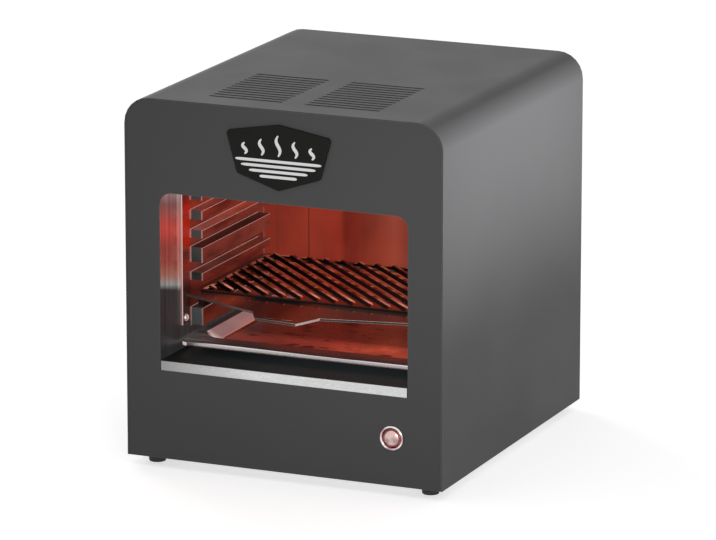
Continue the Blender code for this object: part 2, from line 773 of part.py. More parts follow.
def rack_outline(sign, hollow):
    """The rack's pressed section, seen along Y: up its inner side and down its outer side."""
    inner = [(RACK_INNER, RACK_FOOT)]
    outer = [(RACK_OUTER, RACK_FOOT)]
    height = RACK_FOOT + RACK_MARGIN
    for ridge, groove in zip(RIDGE_SHARES, GROOVE_SHARES + (0.0,)):
        top = height + ridge * RIDGE_SPAN
        inner += [(RACK_INNER, height), (RIDGE_FACE, height), (RIDGE_FACE, top), (RACK_INNER, top)]
        if hollow:
            low = height + RACK_SHEET
            high = top - RACK_SHEET
            reach = RIDGE_FACE + RACK_SHEET
            outer += [(RACK_OUTER, low), (reach, low), (reach, high), (RACK_OUTER, high)]
        height = top + groove * RIDGE_SPAN
    inner.append((RACK_INNER, RACK_TOP))
    outer.append((RACK_OUTER, RACK_TOP))
    return [(sign * x, z_at(z)) for x, z in inner + outer[::-1]]


def make_racks(steel):
    overlap = RACK_SHEET / 2
    for name, sign in (("left", -1), ("right", 1)):
        section = rack_outline(sign, True)
        ridges = prism(section, 1, y_at(RIDGE_FRONT + overlap), y_at(RIDGE_BACK - overlap))
        rack = finish(f"rack_{name}", ridges, steel)
        section = rack_outline(sign, False)
        ends = prism(section, 1, y_at(RIDGE_FRONT), y_at(RIDGE_FRONT + RACK_SHEET))
        prism(section, 1, y_at(RIDGE_BACK - RACK_SHEET), y_at(RIDGE_BACK), ends)
        join(rack, "ends", ends)
        hem = RACK_OUTER - RACK_HEM
        front = [
            (RACK_OUTER, RACK_FRONT),
            (hem, RACK_FRONT),
            (hem, RACK_FRONT + RACK_SHEET),
            (RACK_INNER, RACK_FRONT + RACK_SHEET),
            (RACK_INNER, RIDGE_FRONT + overlap),
            (RACK_OUTER, RIDGE_FRONT + overlap),
        ]
        rear = [
            (RACK_OUTER, RIDGE_BACK - overlap),
            (RACK_INNER, RIDGE_BACK - overlap),
            (RACK_INNER, RACK_BACK),
            (RACK_OUTER, RACK_BACK),
        ]
        strips = bmesh.new()
        for outline, foot in ((front, RACK_FOOT + RACK_FRONT_RISE), (rear, RACK_FOOT)):
            placed = [(sign * x, y_at(depth)) for x, depth in outline]
            prism(placed, 2, z_at(foot), z_at(RACK_TOP), strips)
        join(rack, "strips", strips)
        cut(rack, "bolt_holes", bolt_holes(sign))
        profile = [
            (0.0, BOLT_HEAD),
            (BOLT_HEAD_RADIUS / 2, BOLT_HEAD),
            (BOLT_HEAD_RADIUS, BOLT_HEAD / 2),
            (BOLT_HEAD_RADIUS, 0.0),
            (SCREW_RADIUS, 0.0),
            (SCREW_RADIUS, -BOLT_SHANK),
            (0.0, -BOLT_SHANK),
        ]
        for end, depth in (("front", BOLT_FRONT_DEPTH), ("rear", BOLT_BACK_DEPTH)):
            place = (sign * (RACK_INNER - GAP), y_at(depth), z_at(BOLT_HEIGHT))
            bolt = turned(profile, place, (-sign, 0, 0), SMALL_SIDES)
            finish(f"rack_bolt_{end}_{name}", bolt, steel, SMOOTH)


def make_insulation(wool, steel):
    front = y_at(CHAMBER_FRONT + LINER + GAP)
    back = y_at(WALL_BACK - LINER - GAP)
    half = WINDOW_HALF + LINER + GAP
    outline = arch_outline(half + LINER, LINER, SHIELD_FOOT, SHIELD_TOP)
    finish("heat_shield", prism(outline, 1, front, back), steel)
    blanket = box(
        (-FLOOR_HALF, front, z_at(ROOF_TOP + GAP)),
        (FLOOR_HALF, back, z_at(SHIELD_TOP - LINER - GAP)),
    )
    finish("insulation_top", blanket, wool)
    inner = RACK_INNER - GAP + BOLT_SHANK + GAP
    for name, sign in (("left", -1), ("right", 1)):
        edges = sorted((sign * inner, sign * (inner + SIDE_INSULATION)))
        slab = box(
            (edges[0], front, z_at(CHAMBER_FLOOR)),
            (edges[1], back, z_at(SHIELD_FOOT)),
        )
        finish(f"insulation_{name}", slab, wool)


def make_supports(steel):
    """Z-shaped stands that carry the chamber's floor on the base plate."""
    low = BASE_TOP + GAP
    high = CHAMBER_FLOOR - LINER - GAP
    outline = [
        (SUPPORT_X - SUPPORT_TOE, low),
        (SUPPORT_X, low),
        (SUPPORT_X, high),
        (SUPPORT_X - SUPPORT_TOE, high),
        (SUPPORT_X - SUPPORT_TOE, high - SHEET),
        (SUPPORT_X - SHEET, high - SHEET),
        (SUPPORT_X - SHEET, low + SHEET),
        (SUPPORT_X - SUPPORT_TOE, low + SHEET),
    ]
    for name, sign in (("left", -1), ("right", 1)):
        placed = [(sign * x, z_at(z)) for x, z in outline]
        stand = prism(placed, 1, y_at(SUPPORT_FRONT), y_at(SUPPORT_BACK))
        finish(f"chamber_support_{name}", stand, steel)


def rod_path():
    """Centre line of the element: legs along Y joined by half-turns, both tails to the back."""
    radius = ROD_PITCH / 2
    points = [(-ROD_HALF_SPAN, ROD_TAIL)]
    for leg in range(ROD_LEGS - 1):
        middle = -ROD_HALF_SPAN + ROD_PITCH * leg + radius
        forward = leg % 2 == 0
        depth = ROD_FRONT + radius if forward else ROD_BACK - radius
        bulge = -1 if forward else 1
        for step in range(ROD_BEND_STEPS + 1):
            angle = math.pi * step / ROD_BEND_STEPS
            x = middle - radius * math.cos(angle)
            points.append((x, depth + bulge * radius * math.sin(angle)))
    points.append((ROD_HALF_SPAN, ROD_TAIL))
    return [(x, y_at(depth), z_at(ROD_HEIGHT)) for x, depth in points]


def tube(name, points, radius, resolution, material):
    """A round tube along a line of points, as a curve with filled ends."""
    curve = bpy.data.curves.new(name, "CURVE")
    curve.dimensions = "3D"
    curve.bevel_depth = radius
    curve.bevel_resolution = resolution
    curve.use_fill_caps = True
    spline = curve.splines.new("POLY")
    spline.points.add(len(points) - 1)
    for point, place in zip(spline.points, points):
        point.co = (*place, 1.0)
    curve.materials.append(material)
    item = bpy.data.objects.new(name, curve)
    bpy.context.collection.objects.link(item)
    return item


def make_heater(hot, steel, ceramic):
    tube("heating_element", rod_path(), ROD_RADIUS, 2, hot)
    top = ROD_HEIGHT - ROD_RADIUS - GAP
    for name, depth in (("front", ROD_FRONT + BAR_INSET), ("rear", ROD_BACK - BAR_INSET)):
        bar = box(
            (-FLOOR_HALF, y_at(depth - BAR_WIDTH / 2), z_at(top - BAR_THICKNESS)),
            (FLOOR_HALF, y_at(depth + BAR_WIDTH / 2), z_at(top)),
        )
        finish(f"element_bar_{name}", bar, steel)
    profile = [
        (0.0, 0.0),
        (END_RADIUS, 0.0),
        (END_RADIUS, END_LENGTH),
        (PIN_RADIUS, END_LENGTH),
        (PIN_RADIUS, END_LENGTH + PIN_LENGTH),
        (0.0, END_LENGTH + PIN_LENGTH),
    ]
    for name, sign in (("left", -1), ("right", 1)):
        place = (sign * ROD_HALF_SPAN, y_at(ROD_TAIL + GAP), z_at(ROD_HEIGHT))
        end = turned(profile, place, (0, 1, 0), SMALL_SIDES)
        finish(f"element_end_{name}", end, ceramic, SMOOTH)
    profile = [
        (0.0, 0.0),
        (CUTOUT_RADIUS, 0.0),
        (CUTOUT_RADIUS, CUTOUT_THICKNESS / 2),
        (CUTOUT_CAP_RADIUS, CUTOUT_THICKNESS / 2),
        (CUTOUT_CAP_RADIUS, CUTOUT_THICKNESS),
        (0.0, CUTOUT_THICKNESS),
    ]
    place = (CUTOUT_X, y_at(CHAMBER_BACK + LINER + GAP), z_at(CUTOUT_HEIGHT))
    finish("thermal_cutout", turned(profile, place, (0, 1, 0), SMALL_SIDES), ceramic, SMOOTH)


def make_button(chrome, lens, cap_metal, black):
    centre = (BUTTON_X, y_at(0.0), z_at(BUTTON_HEIGHT))
    inwards = (0, 1, 0)
    seat = PANEL_SET - GAP
    bezel = []
    for across, proud in BEZEL_ROUND_SHARES:
        radius = BEZEL_LIP + (BEZEL_RADIUS - BEZEL_LIP) * across
        bezel.append((radius, seat - BEZEL_PROUD * proud))
    bezel += [
        (BEZEL_RADIUS, seat),
        (BARREL_RADIUS, seat),
        (BARREL_RADIUS, BARREL_BACK),
        (BARREL_BORE, BARREL_BACK),
        (BARREL_BORE, seat - BARREL_MOUTH),
        (BEZEL_LIP, seat - 2 * BARREL_MOUTH),
    ]
    finish("switch_bezel", turned(bezel, centre, inwards), chrome, SMOOTH)
    lens_outer = BARREL_BORE - GAP
    lens_inner = lens_outer - LENS_WIDTH
    ring = [
        (lens_inner, seat - LENS_PROUD),
        (lens_outer, seat - LENS_PROUD),
        (lens_outer, LENS_BACK),
        (lens_inner, LENS_BACK),
    ]
    finish("switch_light_ring", turned(ring, centre, inwards), lens, SMOOTH)
    cap_radius = lens_inner - GAP
    cap = [(0.0, seat - CAP_PROUD)]
    for across, proud in CAP_ROUND_SHARES:
        cap.append((cap_radius * across, seat - CAP_PROUD * proud))
    cap += [(cap_radius, CAP_BACK), (0.0, CAP_BACK)]
    finish("switch_cap", turned(cap, centre, inwards), cap_metal, SMOOTH)
    well = CAP_BACK + BUTTON_TRAVEL + GAP
    body = [
        (0.0, well),
        (cap_radius + GAP, well),
        (cap_radius + GAP, LENS_BACK + GAP),
        (lens_outer, LENS_BACK + GAP),
        (lens_outer, BARREL_BACK + GAP),
        (SWITCH_TAIL_RADIUS, BARREL_BACK + GAP),
        (SWITCH_TAIL_RADIUS, SWITCH_BODY_BACK),
        (0.0, SWITCH_BODY_BACK),
    ]
    finish("switch_body", turned(body, centre, inwards), black, SMOOTH)
    corner = NUT_ACROSS_FLATS / 2 / math.cos(math.pi / 6)
    hexagon = []
    for i in range(6):
        angle = math.pi / 3 * i
        hexagon.append((centre[0] + corner * math.cos(angle), centre[2] + corner * math.sin(angle)))
    low = y_at(PANEL_BACK + GAP)
    nut = finish("switch_nut", prism(hexagon, 1, low, low + NUT_THICKNESS), chrome)
    place = (centre[0], 0.0, centre[2])
    high = low + NUT_THICKNESS + CUT_OVERRUN
    hole = cylinder(place, inwards, BARREL_RADIUS + GAP, low - CUT_OVERRUN, high, ROUND_SIDES)
    cut(nut, "bore", hole)


def make_inlet(black, steel):
    front = REAR_OUTER + GAP
    back = front + INLET_PROUD
    tail = front - INLET_BODY_LENGTH

    def block(half, rise, low, high, x=-INLET_X, height=INLET_HEIGHT, bm=None):
        corner = (x - half, y_at(low), z_at(height - rise))
        return box(corner, (x + half, y_at(high), z_at(height + rise)), bm)

    body = block(INLET_BODY_HALF, INLET_BODY_RISE, tail, front + INLET_PROUD / 2)
    inlet = finish("power_inlet", body, black)
    join(inlet, "flange", block(INLET_FLANGE_HALF, INLET_FLANGE_RISE, front, back))
    floor = tail + INLET_FLOOR
    recess = block(
        INLET_BODY_HALF - INLET_WALL, INLET_BODY_RISE - INLET_WALL, floor, back + CUT_OVERRUN
    )
    for sign in (-1, 1):
        place = (-INLET_X + sign * INLET_SCREW_X, 0.0, z_at(INLET_HEIGHT))
        low = y_at(front - CUT_OVERRUN)
        cylinder(place, (0, 1, 0), SCREW_HOLE, low, y_at(back + CUT_OVERRUN), SMALL_SIDES, recess)
    cut(inlet, "recess", recess)
    pins = bmesh.new()
    for x, rise in ((-INLET_PIN_SPREAD, -1), (0.0, 1), (INLET_PIN_SPREAD, -1)):
        height = INLET_HEIGHT + rise * INLET_PIN_OFFSET
        low = floor - INLET_FLOOR / 2
        high = back - INLET_PIN_SETBACK
        block(INLET_PIN_WIDTH / 2, INLET_PIN_RISE / 2, low, high, x - INLET_X, height, pins)
    join(inlet, "pins", pins)
    for name, sign in (("left", -1), ("right", 1)):
        place = (-INLET_X + sign * INLET_SCREW_X, y_at(back + GAP), z_at(INLET_HEIGHT))
        screw(f"inlet_screw_{name}", place, (0, -1, 0), INLET_SCREW_SHANK, steel)
        place = (sign * REAR_SCREW_X, y_at(front), z_at(BASE_TOP + BASE_FLANGE / 2))
        screw(f"rear_screw_{name}", place, (0, -1, 0), REAR_SCREW_SHANK, steel)


def make_terminal_block(ceramic):
    """A comb of terminals, seen along Y."""
    low = BASE_TOP + GAP
    half = (BLOCK_CELLS * BLOCK_CELL + BLOCK_WALL) / 2
    top = low + BLOCK_RISE
    points = [(-half, low), (half, low)]
    for i in range(BLOCK_CELLS, -1, -1):
        wall = -half + i * BLOCK_CELL + BLOCK_WALL
        points += [(wall, top), (wall - BLOCK_WALL, top)]
        if i > 0:
            points += [(wall - BLOCK_WALL, top - BLOCK_STEP)]
            points += [(wall - BLOCK_CELL, top - BLOCK_STEP)]
    outline = [(x - BLOCK_X, z_at(z)) for x, z in points]
    start = y_at(BLOCK_DEPTH)
    finish("terminal_block", prism(outline, 1, start, start + BLOCK_LENGTH), ceramic)


def smooth_route(points):
    """Points along a smooth curve through placed points, with a straight first and last run."""
    places = [Vector(point) for point in points]
    route = [places[0]]
    for i in range(len(places) - 3):
        a, b, c, d = places[i : i + 4]
        for step in range(WIRE_STEPS):
            t = step / WIRE_STEPS
            ease = 2 * b + (c - a) * t + (2 * a - 5 * b + 4 * c - d) * t * t
            route.append((ease + (3 * b - a - 3 * c + d) * t * t * t) / 2)
    return route + places[-2:]


def make_wires(rubber):
    """Leads from the inlet to the terminals, and on to the switch and both element ends."""
    block_back = BLOCK_DEPTH + BLOCK_LENGTH + GAP
    lead = WIRE_LEAD
    cell = BLOCK_CELL / 2
    middle = BASE_TOP + GAP + BLOCK_RISE / 2
    tail = REAR_OUTER + GAP - INLET_BODY_LENGTH - GAP
    inlet_x = -INLET_X
    block_x = -BLOCK_X
    rod_x = ROD_HALF_SPAN
    rod_depth = ROD_TAIL + GAP + END_LENGTH + PIN_LENGTH + GAP
    button_back = SWITCH_BODY_BACK + GAP
    floor = BASE_TOP + lead
    aisle = SUPPORT_X - SUPPORT_TOE - lead
    routes = {
        "wire_inlet": [
            (inlet_x, tail, INLET_HEIGHT),
            (inlet_x, tail - lead / 2, INLET_HEIGHT),
            (inlet_x + lead, block_back + lead, (INLET_HEIGHT + middle) / 2),
            (block_x - cell, block_back + lead, middle),
            (block_x - cell, block_back, middle),
        ],
        "wire_switch": [
            (block_x + cell, BLOCK_DEPTH - GAP, middle),
            (block_x + cell, BLOCK_DEPTH - lead, middle),
            (0.0, SUPPORT_BACK, floor),
            (aisle, (SUPPORT_FRONT + SUPPORT_BACK) / 2, floor),
            (aisle, SUPPORT_FRONT, floor),
            (BUTTON_X, button_back + 2 * lead, (floor + BUTTON_HEIGHT) / 2),
            (BUTTON_X, button_back + lead, BUTTON_HEIGHT),
            (BUTTON_X, button_back, BUTTON_HEIGHT),
        ],
        "wire_element_left": [
            (block_x, block_back, middle),
            (block_x, block_back + lead, middle),
            (block_x - lead, block_back + lead, middle + 2 * lead),
            (-rod_x, rod_depth + lead, CHAMBER_FLOOR + lead),
            (-rod_x, rod_depth + lead, ROD_HEIGHT - 2 * lead),
            (-rod_x, rod_depth + lead, ROD_HEIGHT - lead / 2),
            (-rod_x, rod_depth + lead / 3, ROD_HEIGHT),
            (-rod_x, rod_depth, ROD_HEIGHT),
        ],
        "wire_element_right": [
            (block_x + cell, block_back, middle),
            (block_x + cell, block_back + lead, middle),
            (block_x + 2 * lead + cell, block_back + lead, middle + 2 * lead),
            (rod_x, rod_depth + lead, CHAMBER_FLOOR + lead),
            (rod_x, rod_depth + lead, ROD_HEIGHT - 2 * lead),
            (rod_x, rod_depth + lead, ROD_HEIGHT - lead / 2),
            (rod_x, rod_depth + lead / 3, ROD_HEIGHT),
            (rod_x, rod_depth, ROD_HEIGHT),
        ],
    }
    for name, points in routes.items():
        places = [(x, y_at(depth), z_at(height)) for x, depth, height in points]
        tube(name, smooth_route(places), WIRE_RADIUS, 2, rubber)


def grate_outline():
    """The frame's outline from above: square at the back, drawn out to a nose at the front."""
    points = [
        (-GRATE_HALF, GRATE_BACK),
        (-GRATE_HALF, GRATE_LEFT_SHOULDER),
        (-NOSE_ROOT_HALF, NOSE_ROOT_DEPTH),
        (-NOSE_HALF, -NOSE_LEFT_OUT),
        (NOSE_HALF, -NOSE_RIGHT_OUT),
        (NOSE_ROOT_HALF, NOSE_ROOT_DEPTH),
        (GRATE_HALF, GRATE_RIGHT_SHOULDER),
        (GRATE_HALF, GRATE_BACK),
    ]
    return [(x, y_at(depth)) for x, depth in points]


def make_grate(frame_metal, bar_metal):
    under = z_at(GRATE_TOP - GRATE_SHEET)
    top = z_at(GRATE_TOP)
    frame = finish("grate_frame", prism(grate_outline(), 2, under, top), frame_metal)
    runners = bmesh.new()
    low = z_at(RAIL_TOP + GAP)
    high = z_at(GRATE_TOP - GRATE_SHEET / 2)
    for sign in (-1, 1):
        edges = sorted((sign * (GRATE_HALF - RUNNER_WIDTH), sign * (GRATE_HALF - GAP)))
        box((edges[0], y_at(RUNNER_FRONT), low), (edges[1], y_at(RUNNER_BACK), high), runners)
    join(frame, "runners", runners)
    ledge = INSERT_LEDGE
    opening = box(
        (ledge - INSERT_HALF, y_at(INSERT_FRONT + ledge), under - CUT_OVERRUN),
        (INSERT_HALF - ledge, y_at(INSERT_BACK - ledge), top + CUT_OVERRUN),
    )
    front = y_at(NOSE_SLOT_SETBACK - NOSE_RIGHT_OUT) - NOSE_SLOT_WIDTH / 2
    back = front + NOSE_SLOT_WIDTH
    for sign in (-1, 1):
        left = sign * NOSE_SLOT_X - NOSE_SLOT_LENGTH / 2
        right = left + NOSE_SLOT_LENGTH
        box((left, front, under - CUT_OVERRUN), (right, back, top + CUT_OVERRUN), opening)
    cut(frame, "openings", opening)
    make_grate_bars(bar_metal)


def raised_bar(bm, start, end, low):
    """A straight bar, lowest at its two ends, where it lies in the rim."""
    along = end - start
    slope = min(BAR_SLOPE, along.length * BAR_SLOPE_LIMIT_SHARE)
    along.normalize()
    side = Vector((-along.y, along.x)) * BAR_HALF
    seat = low + INSERT_RISE - BAR_LIFT
    crest = low + BAR_RISE
    stations = (
        (start, seat),
        (start + along * slope, crest),
        (end - along * slope, crest),
        (end, seat),
    )
    loops = []
    for middle, top in stations:
        left = middle - side
        right = middle + side
        loops.append([(*left, low + BAR_LIFT), (*right, low + BAR_LIFT), (*right, top), (*left, top)])
    loft(bm, loops)


def make_grate_bars(metal):
    """A rim with diagonal bars that end in the middle of the rim's width."""
    low = z_at(INSERT_FOOT)
    high = z_at(INSERT_FOOT + INSERT_RISE)
    rim = box((-INSERT_HALF, y_at(INSERT_FRONT), low), (INSERT_HALF, y_at(INSERT_BACK), high))
    insert = finish("grate_bars", rim, metal)
    inner = box(
        (INSERT_RIM - INSERT_HALF, y_at(INSERT_FRONT + INSERT_RIM), low - CUT_OVERRUN),
        (INSERT_HALF - INSERT_RIM, y_at(INSERT_BACK - INSERT_RIM), high + CUT_OVERRUN),
    )
    cut(insert, "opening", inner)
    half = INSERT_HALF - INSERT_RIM / 2
    front = y_at(INSERT_FRONT + INSERT_RIM / 2)
    back = y_at(INSERT_BACK - INSERT_RIM / 2)
    bars = bmesh.new()
    count = int((2 * half + back - front) / BAR_PITCH)
    spare = (2 * half + back - front - (count - 1) * BAR_PITCH) / 2
    for i in range(count):
        reach = -half + front + spare + i * BAR_PITCH
        start = Vector((max(-half, reach - back), 0))
        start.y = reach - start.x
        end = Vector((min(half, reach - front), 0))
        end.y = reach - end.x
        raised_bar(bars, start, end, low)
    join(insert, "bars", bars)


def pan_loop(side_inset, front_inset, corner, height):
    half = PAN_HALF - side_inset
    front = PAN_FRONT + front_inset
    back = PAN_BACK - side_inset
    corners = [(-half, front), (half, front), (half, back), (-half, back)]
    outline = rounded(corners, (corner,) * len(corners))
    return [(x, y_at(depth), z_at(height)) for x, depth in outline]


def make_pan(steel):
    """A shallow pan: flat rim with a turned-down lip, sloping sides and a flat bottom."""
    floor = CHAMBER_FLOOR + GAP
    side = PAN_FLANGE_SIDE
    front = PAN_FLANGE_FRONT
    sheet = PAN_SHEET
    slope = PAN_SLOPE
    crease = PAN_SLOPE + PAN_CREASE
    rise = PAN_CREASE_RISE
    loops = [
        pan_loop(side + crease, front + crease, PAN_CORNER, floor + sheet),
        pan_loop(side + slope, front + slope, PAN_CORNER, floor + sheet + rise),
        pan_loop(side, front, PAN_CORNER, PAN_RIM),
        pan_loop(sheet, sheet, PAN_LIP_CORNER - sheet, PAN_RIM),
        pan_loop(0.0, 0.0, PAN_LIP_CORNER, PAN_RIM - sheet),
        pan_loop(0.0, 0.0, PAN_LIP_CORNER, PAN_RIM - PAN_LIP),
        pan_loop(sheet, sheet, PAN_LIP_CORNER - sheet, PAN_RIM - PAN_LIP),
        pan_loop(sheet, sheet, PAN_LIP_CORNER - sheet, PAN_RIM - sheet),
        pan_loop(side - sheet, front - sheet, PAN_CORNER, PAN_RIM - sheet),
        pan_loop(side + slope - sheet, front + slope - sheet, PAN_CORNER, floor + rise),
        pan_loop(side + crease, front + crease, PAN_CORNER, floor),
    ]
    bm = bmesh.new()
    loft(bm, loops)
    finish("drip_pan", bm, steel, SMOOTH)


def hang_on_axis(name, place, names):
    """Parents sliding pieces to an empty that stands on their joint's axis."""
    carrier = bpy.data.objects.new(name, None)
    carrier.location = place
    bpy.context.collection.objects.link(carrier)
    for piece_name in names:
        piece = bpy.data.objects[piece_name]
        piece.parent = carrier
        piece.location = [-value for value in place]


def main():
    paint = make_material("grey_paint", (0.052, 0.052, 0.055), 0.45, 0.3)
    black_paint = make_material("black_paint", (0.008, 0.008, 0.008), 0.35, 0.0)
    brushed = make_material("brushed_steel", (0.55, 0.55, 0.56), 0.35, 1.0)
    polished = make_material("polished_steel", (0.60, 0.57, 0.55), 0.15, 1.0)
    galvanised = make_material("galvanised_steel", (0.38, 0.39, 0.40), 0.5, 1.0)
    dark_steel = make_material("dark_steel", (0.10, 0.09, 0.09), 0.2, 1.0)
    bar_iron = make_material("bar_iron", (0.03, 0.025, 0.022), 0.4, 0.8)
    chrome = make_material("chrome", (0.75, 0.75, 0.76), 0.1, 1.0)
    lens = make_material("red_lens", (0.55, 0.03, 0.02), 0.25, 0.0, 1.0)
    hot = make_material("hot_rod", (1.0, 0.16, 0.03), 0.6, 0.2, 4.0)
    ceramic = make_material("ceramic", (0.72, 0.68, 0.60), 0.5, 0.0)
    wool = make_material("ceramic_wool", (0.75, 0.73, 0.68), 0.95, 0.0)
    rubber = make_material("black_rubber", (0.01, 0.01, 0.01), 0.7, 0.0)
    plastic = make_material("black_plastic", (0.015, 0.015, 0.016), 0.45, 0.0)
    make_housing(paint)
    make_front_panel(paint)
    make_strip(brushed)
    make_badge(black_paint)
    make_rear_panel(paint)
    make_base_plate(galvanised)
    make_feet(rubber, galvanised)
    make_chamber(polished, black_paint)
    make_racks(polished)
    make_insulation(wool, galvanised)
    make_supports(galvanised)
    make_heater(hot, brushed, ceramic)
    make_button(chrome, lens, brushed, plastic)
    make_inlet(plastic, galvanised)
    make_terminal_block(ceramic)
    make_wires(rubber)
    make_grate(dark_steel, bar_iron)
    make_pan(brushed)
    button_place = (BUTTON_X, y_at(0.0), z_at(BUTTON_HEIGHT))
    hang_on_axis("button_press", button_place, ("switch_cap",))
    hang_on_axis("grate_slide", (0.0, y_at(0.0), z_at(RAIL_TOP)), ("grate_frame", "grate_bars"))
    hang_on_axis("pan_slide", (0.0, y_at(0.0), z_at(CHAMBER_FLOOR)), ("drip_pan",))


clear_scene()
main()
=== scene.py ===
"""Looks of the electric top-heat grill: fine edges, turned parts, materials, glow, light, camera."""
import json
import math

import bmesh
import bpy
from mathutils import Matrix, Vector, noise


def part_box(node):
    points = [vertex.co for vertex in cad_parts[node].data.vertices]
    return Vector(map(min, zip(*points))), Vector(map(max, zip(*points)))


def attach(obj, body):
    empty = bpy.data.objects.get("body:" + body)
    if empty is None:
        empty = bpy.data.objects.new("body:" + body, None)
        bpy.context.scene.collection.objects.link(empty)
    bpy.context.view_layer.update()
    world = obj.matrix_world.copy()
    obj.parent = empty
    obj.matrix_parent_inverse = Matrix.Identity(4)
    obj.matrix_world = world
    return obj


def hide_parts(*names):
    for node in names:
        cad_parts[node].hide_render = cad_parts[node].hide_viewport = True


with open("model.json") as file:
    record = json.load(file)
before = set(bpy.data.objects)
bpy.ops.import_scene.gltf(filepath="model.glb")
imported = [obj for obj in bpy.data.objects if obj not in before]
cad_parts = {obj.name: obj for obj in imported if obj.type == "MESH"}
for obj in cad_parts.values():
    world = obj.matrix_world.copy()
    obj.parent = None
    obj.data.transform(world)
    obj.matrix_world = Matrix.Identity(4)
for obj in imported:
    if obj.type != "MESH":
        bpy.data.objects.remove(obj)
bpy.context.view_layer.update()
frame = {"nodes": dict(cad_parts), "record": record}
NODES = frame["nodes"]
BODY_OF = {"switch_cap": "button", "grate_frame": "grate", "grate_bars": "grate", "drip_pan": "pan"}
SLOT_OF = {row["node"]: row["material_slot"] for row in frame["record"]["subparts"]}
MM = 0.001
LEVEL_STEP = 0.1 * MM


# Places read from the frame
def levels_of(node, near):
    """The heights at which a node's vertices lie that pass a test, from the lowest up."""
    levels = []
    for height in sorted(v.co.z for v in NODES[node].data.vertices if near(v.co)):
        if not levels or height - levels[-1] > LEVEL_STEP:
            levels.append(round(height, 5))
    return levels


RIDGE_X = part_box("rack_right")[0].x
RACK_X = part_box("rack_right")[1].x
RACK_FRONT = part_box("rack_right")[0].y
RACK_SHEET = 1.5 * MM
RIDGE_FRONT = min(v.co.y for v in NODES["rack_right"].data.vertices if v.co.x < RIDGE_X + 0.1 * MM)
RIDGE_LEVELS = levels_of("rack_right", lambda place: place.x < RIDGE_X + 0.1 * MM)
RIDGE_TOPS = RIDGE_LEVELS[1::2]
RIDGE_FEET = RIDGE_LEVELS[0::2]
RACK_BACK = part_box("rack_right")[1].y
PAN_LOW, PAN_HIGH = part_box("drip_pan")
PAN_FLOOR = PAN_LOW.z + 3.2 * MM
BARS_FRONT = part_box("grate_bars")[0].y
BADGE_LOW, BADGE_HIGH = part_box("badge_plate")


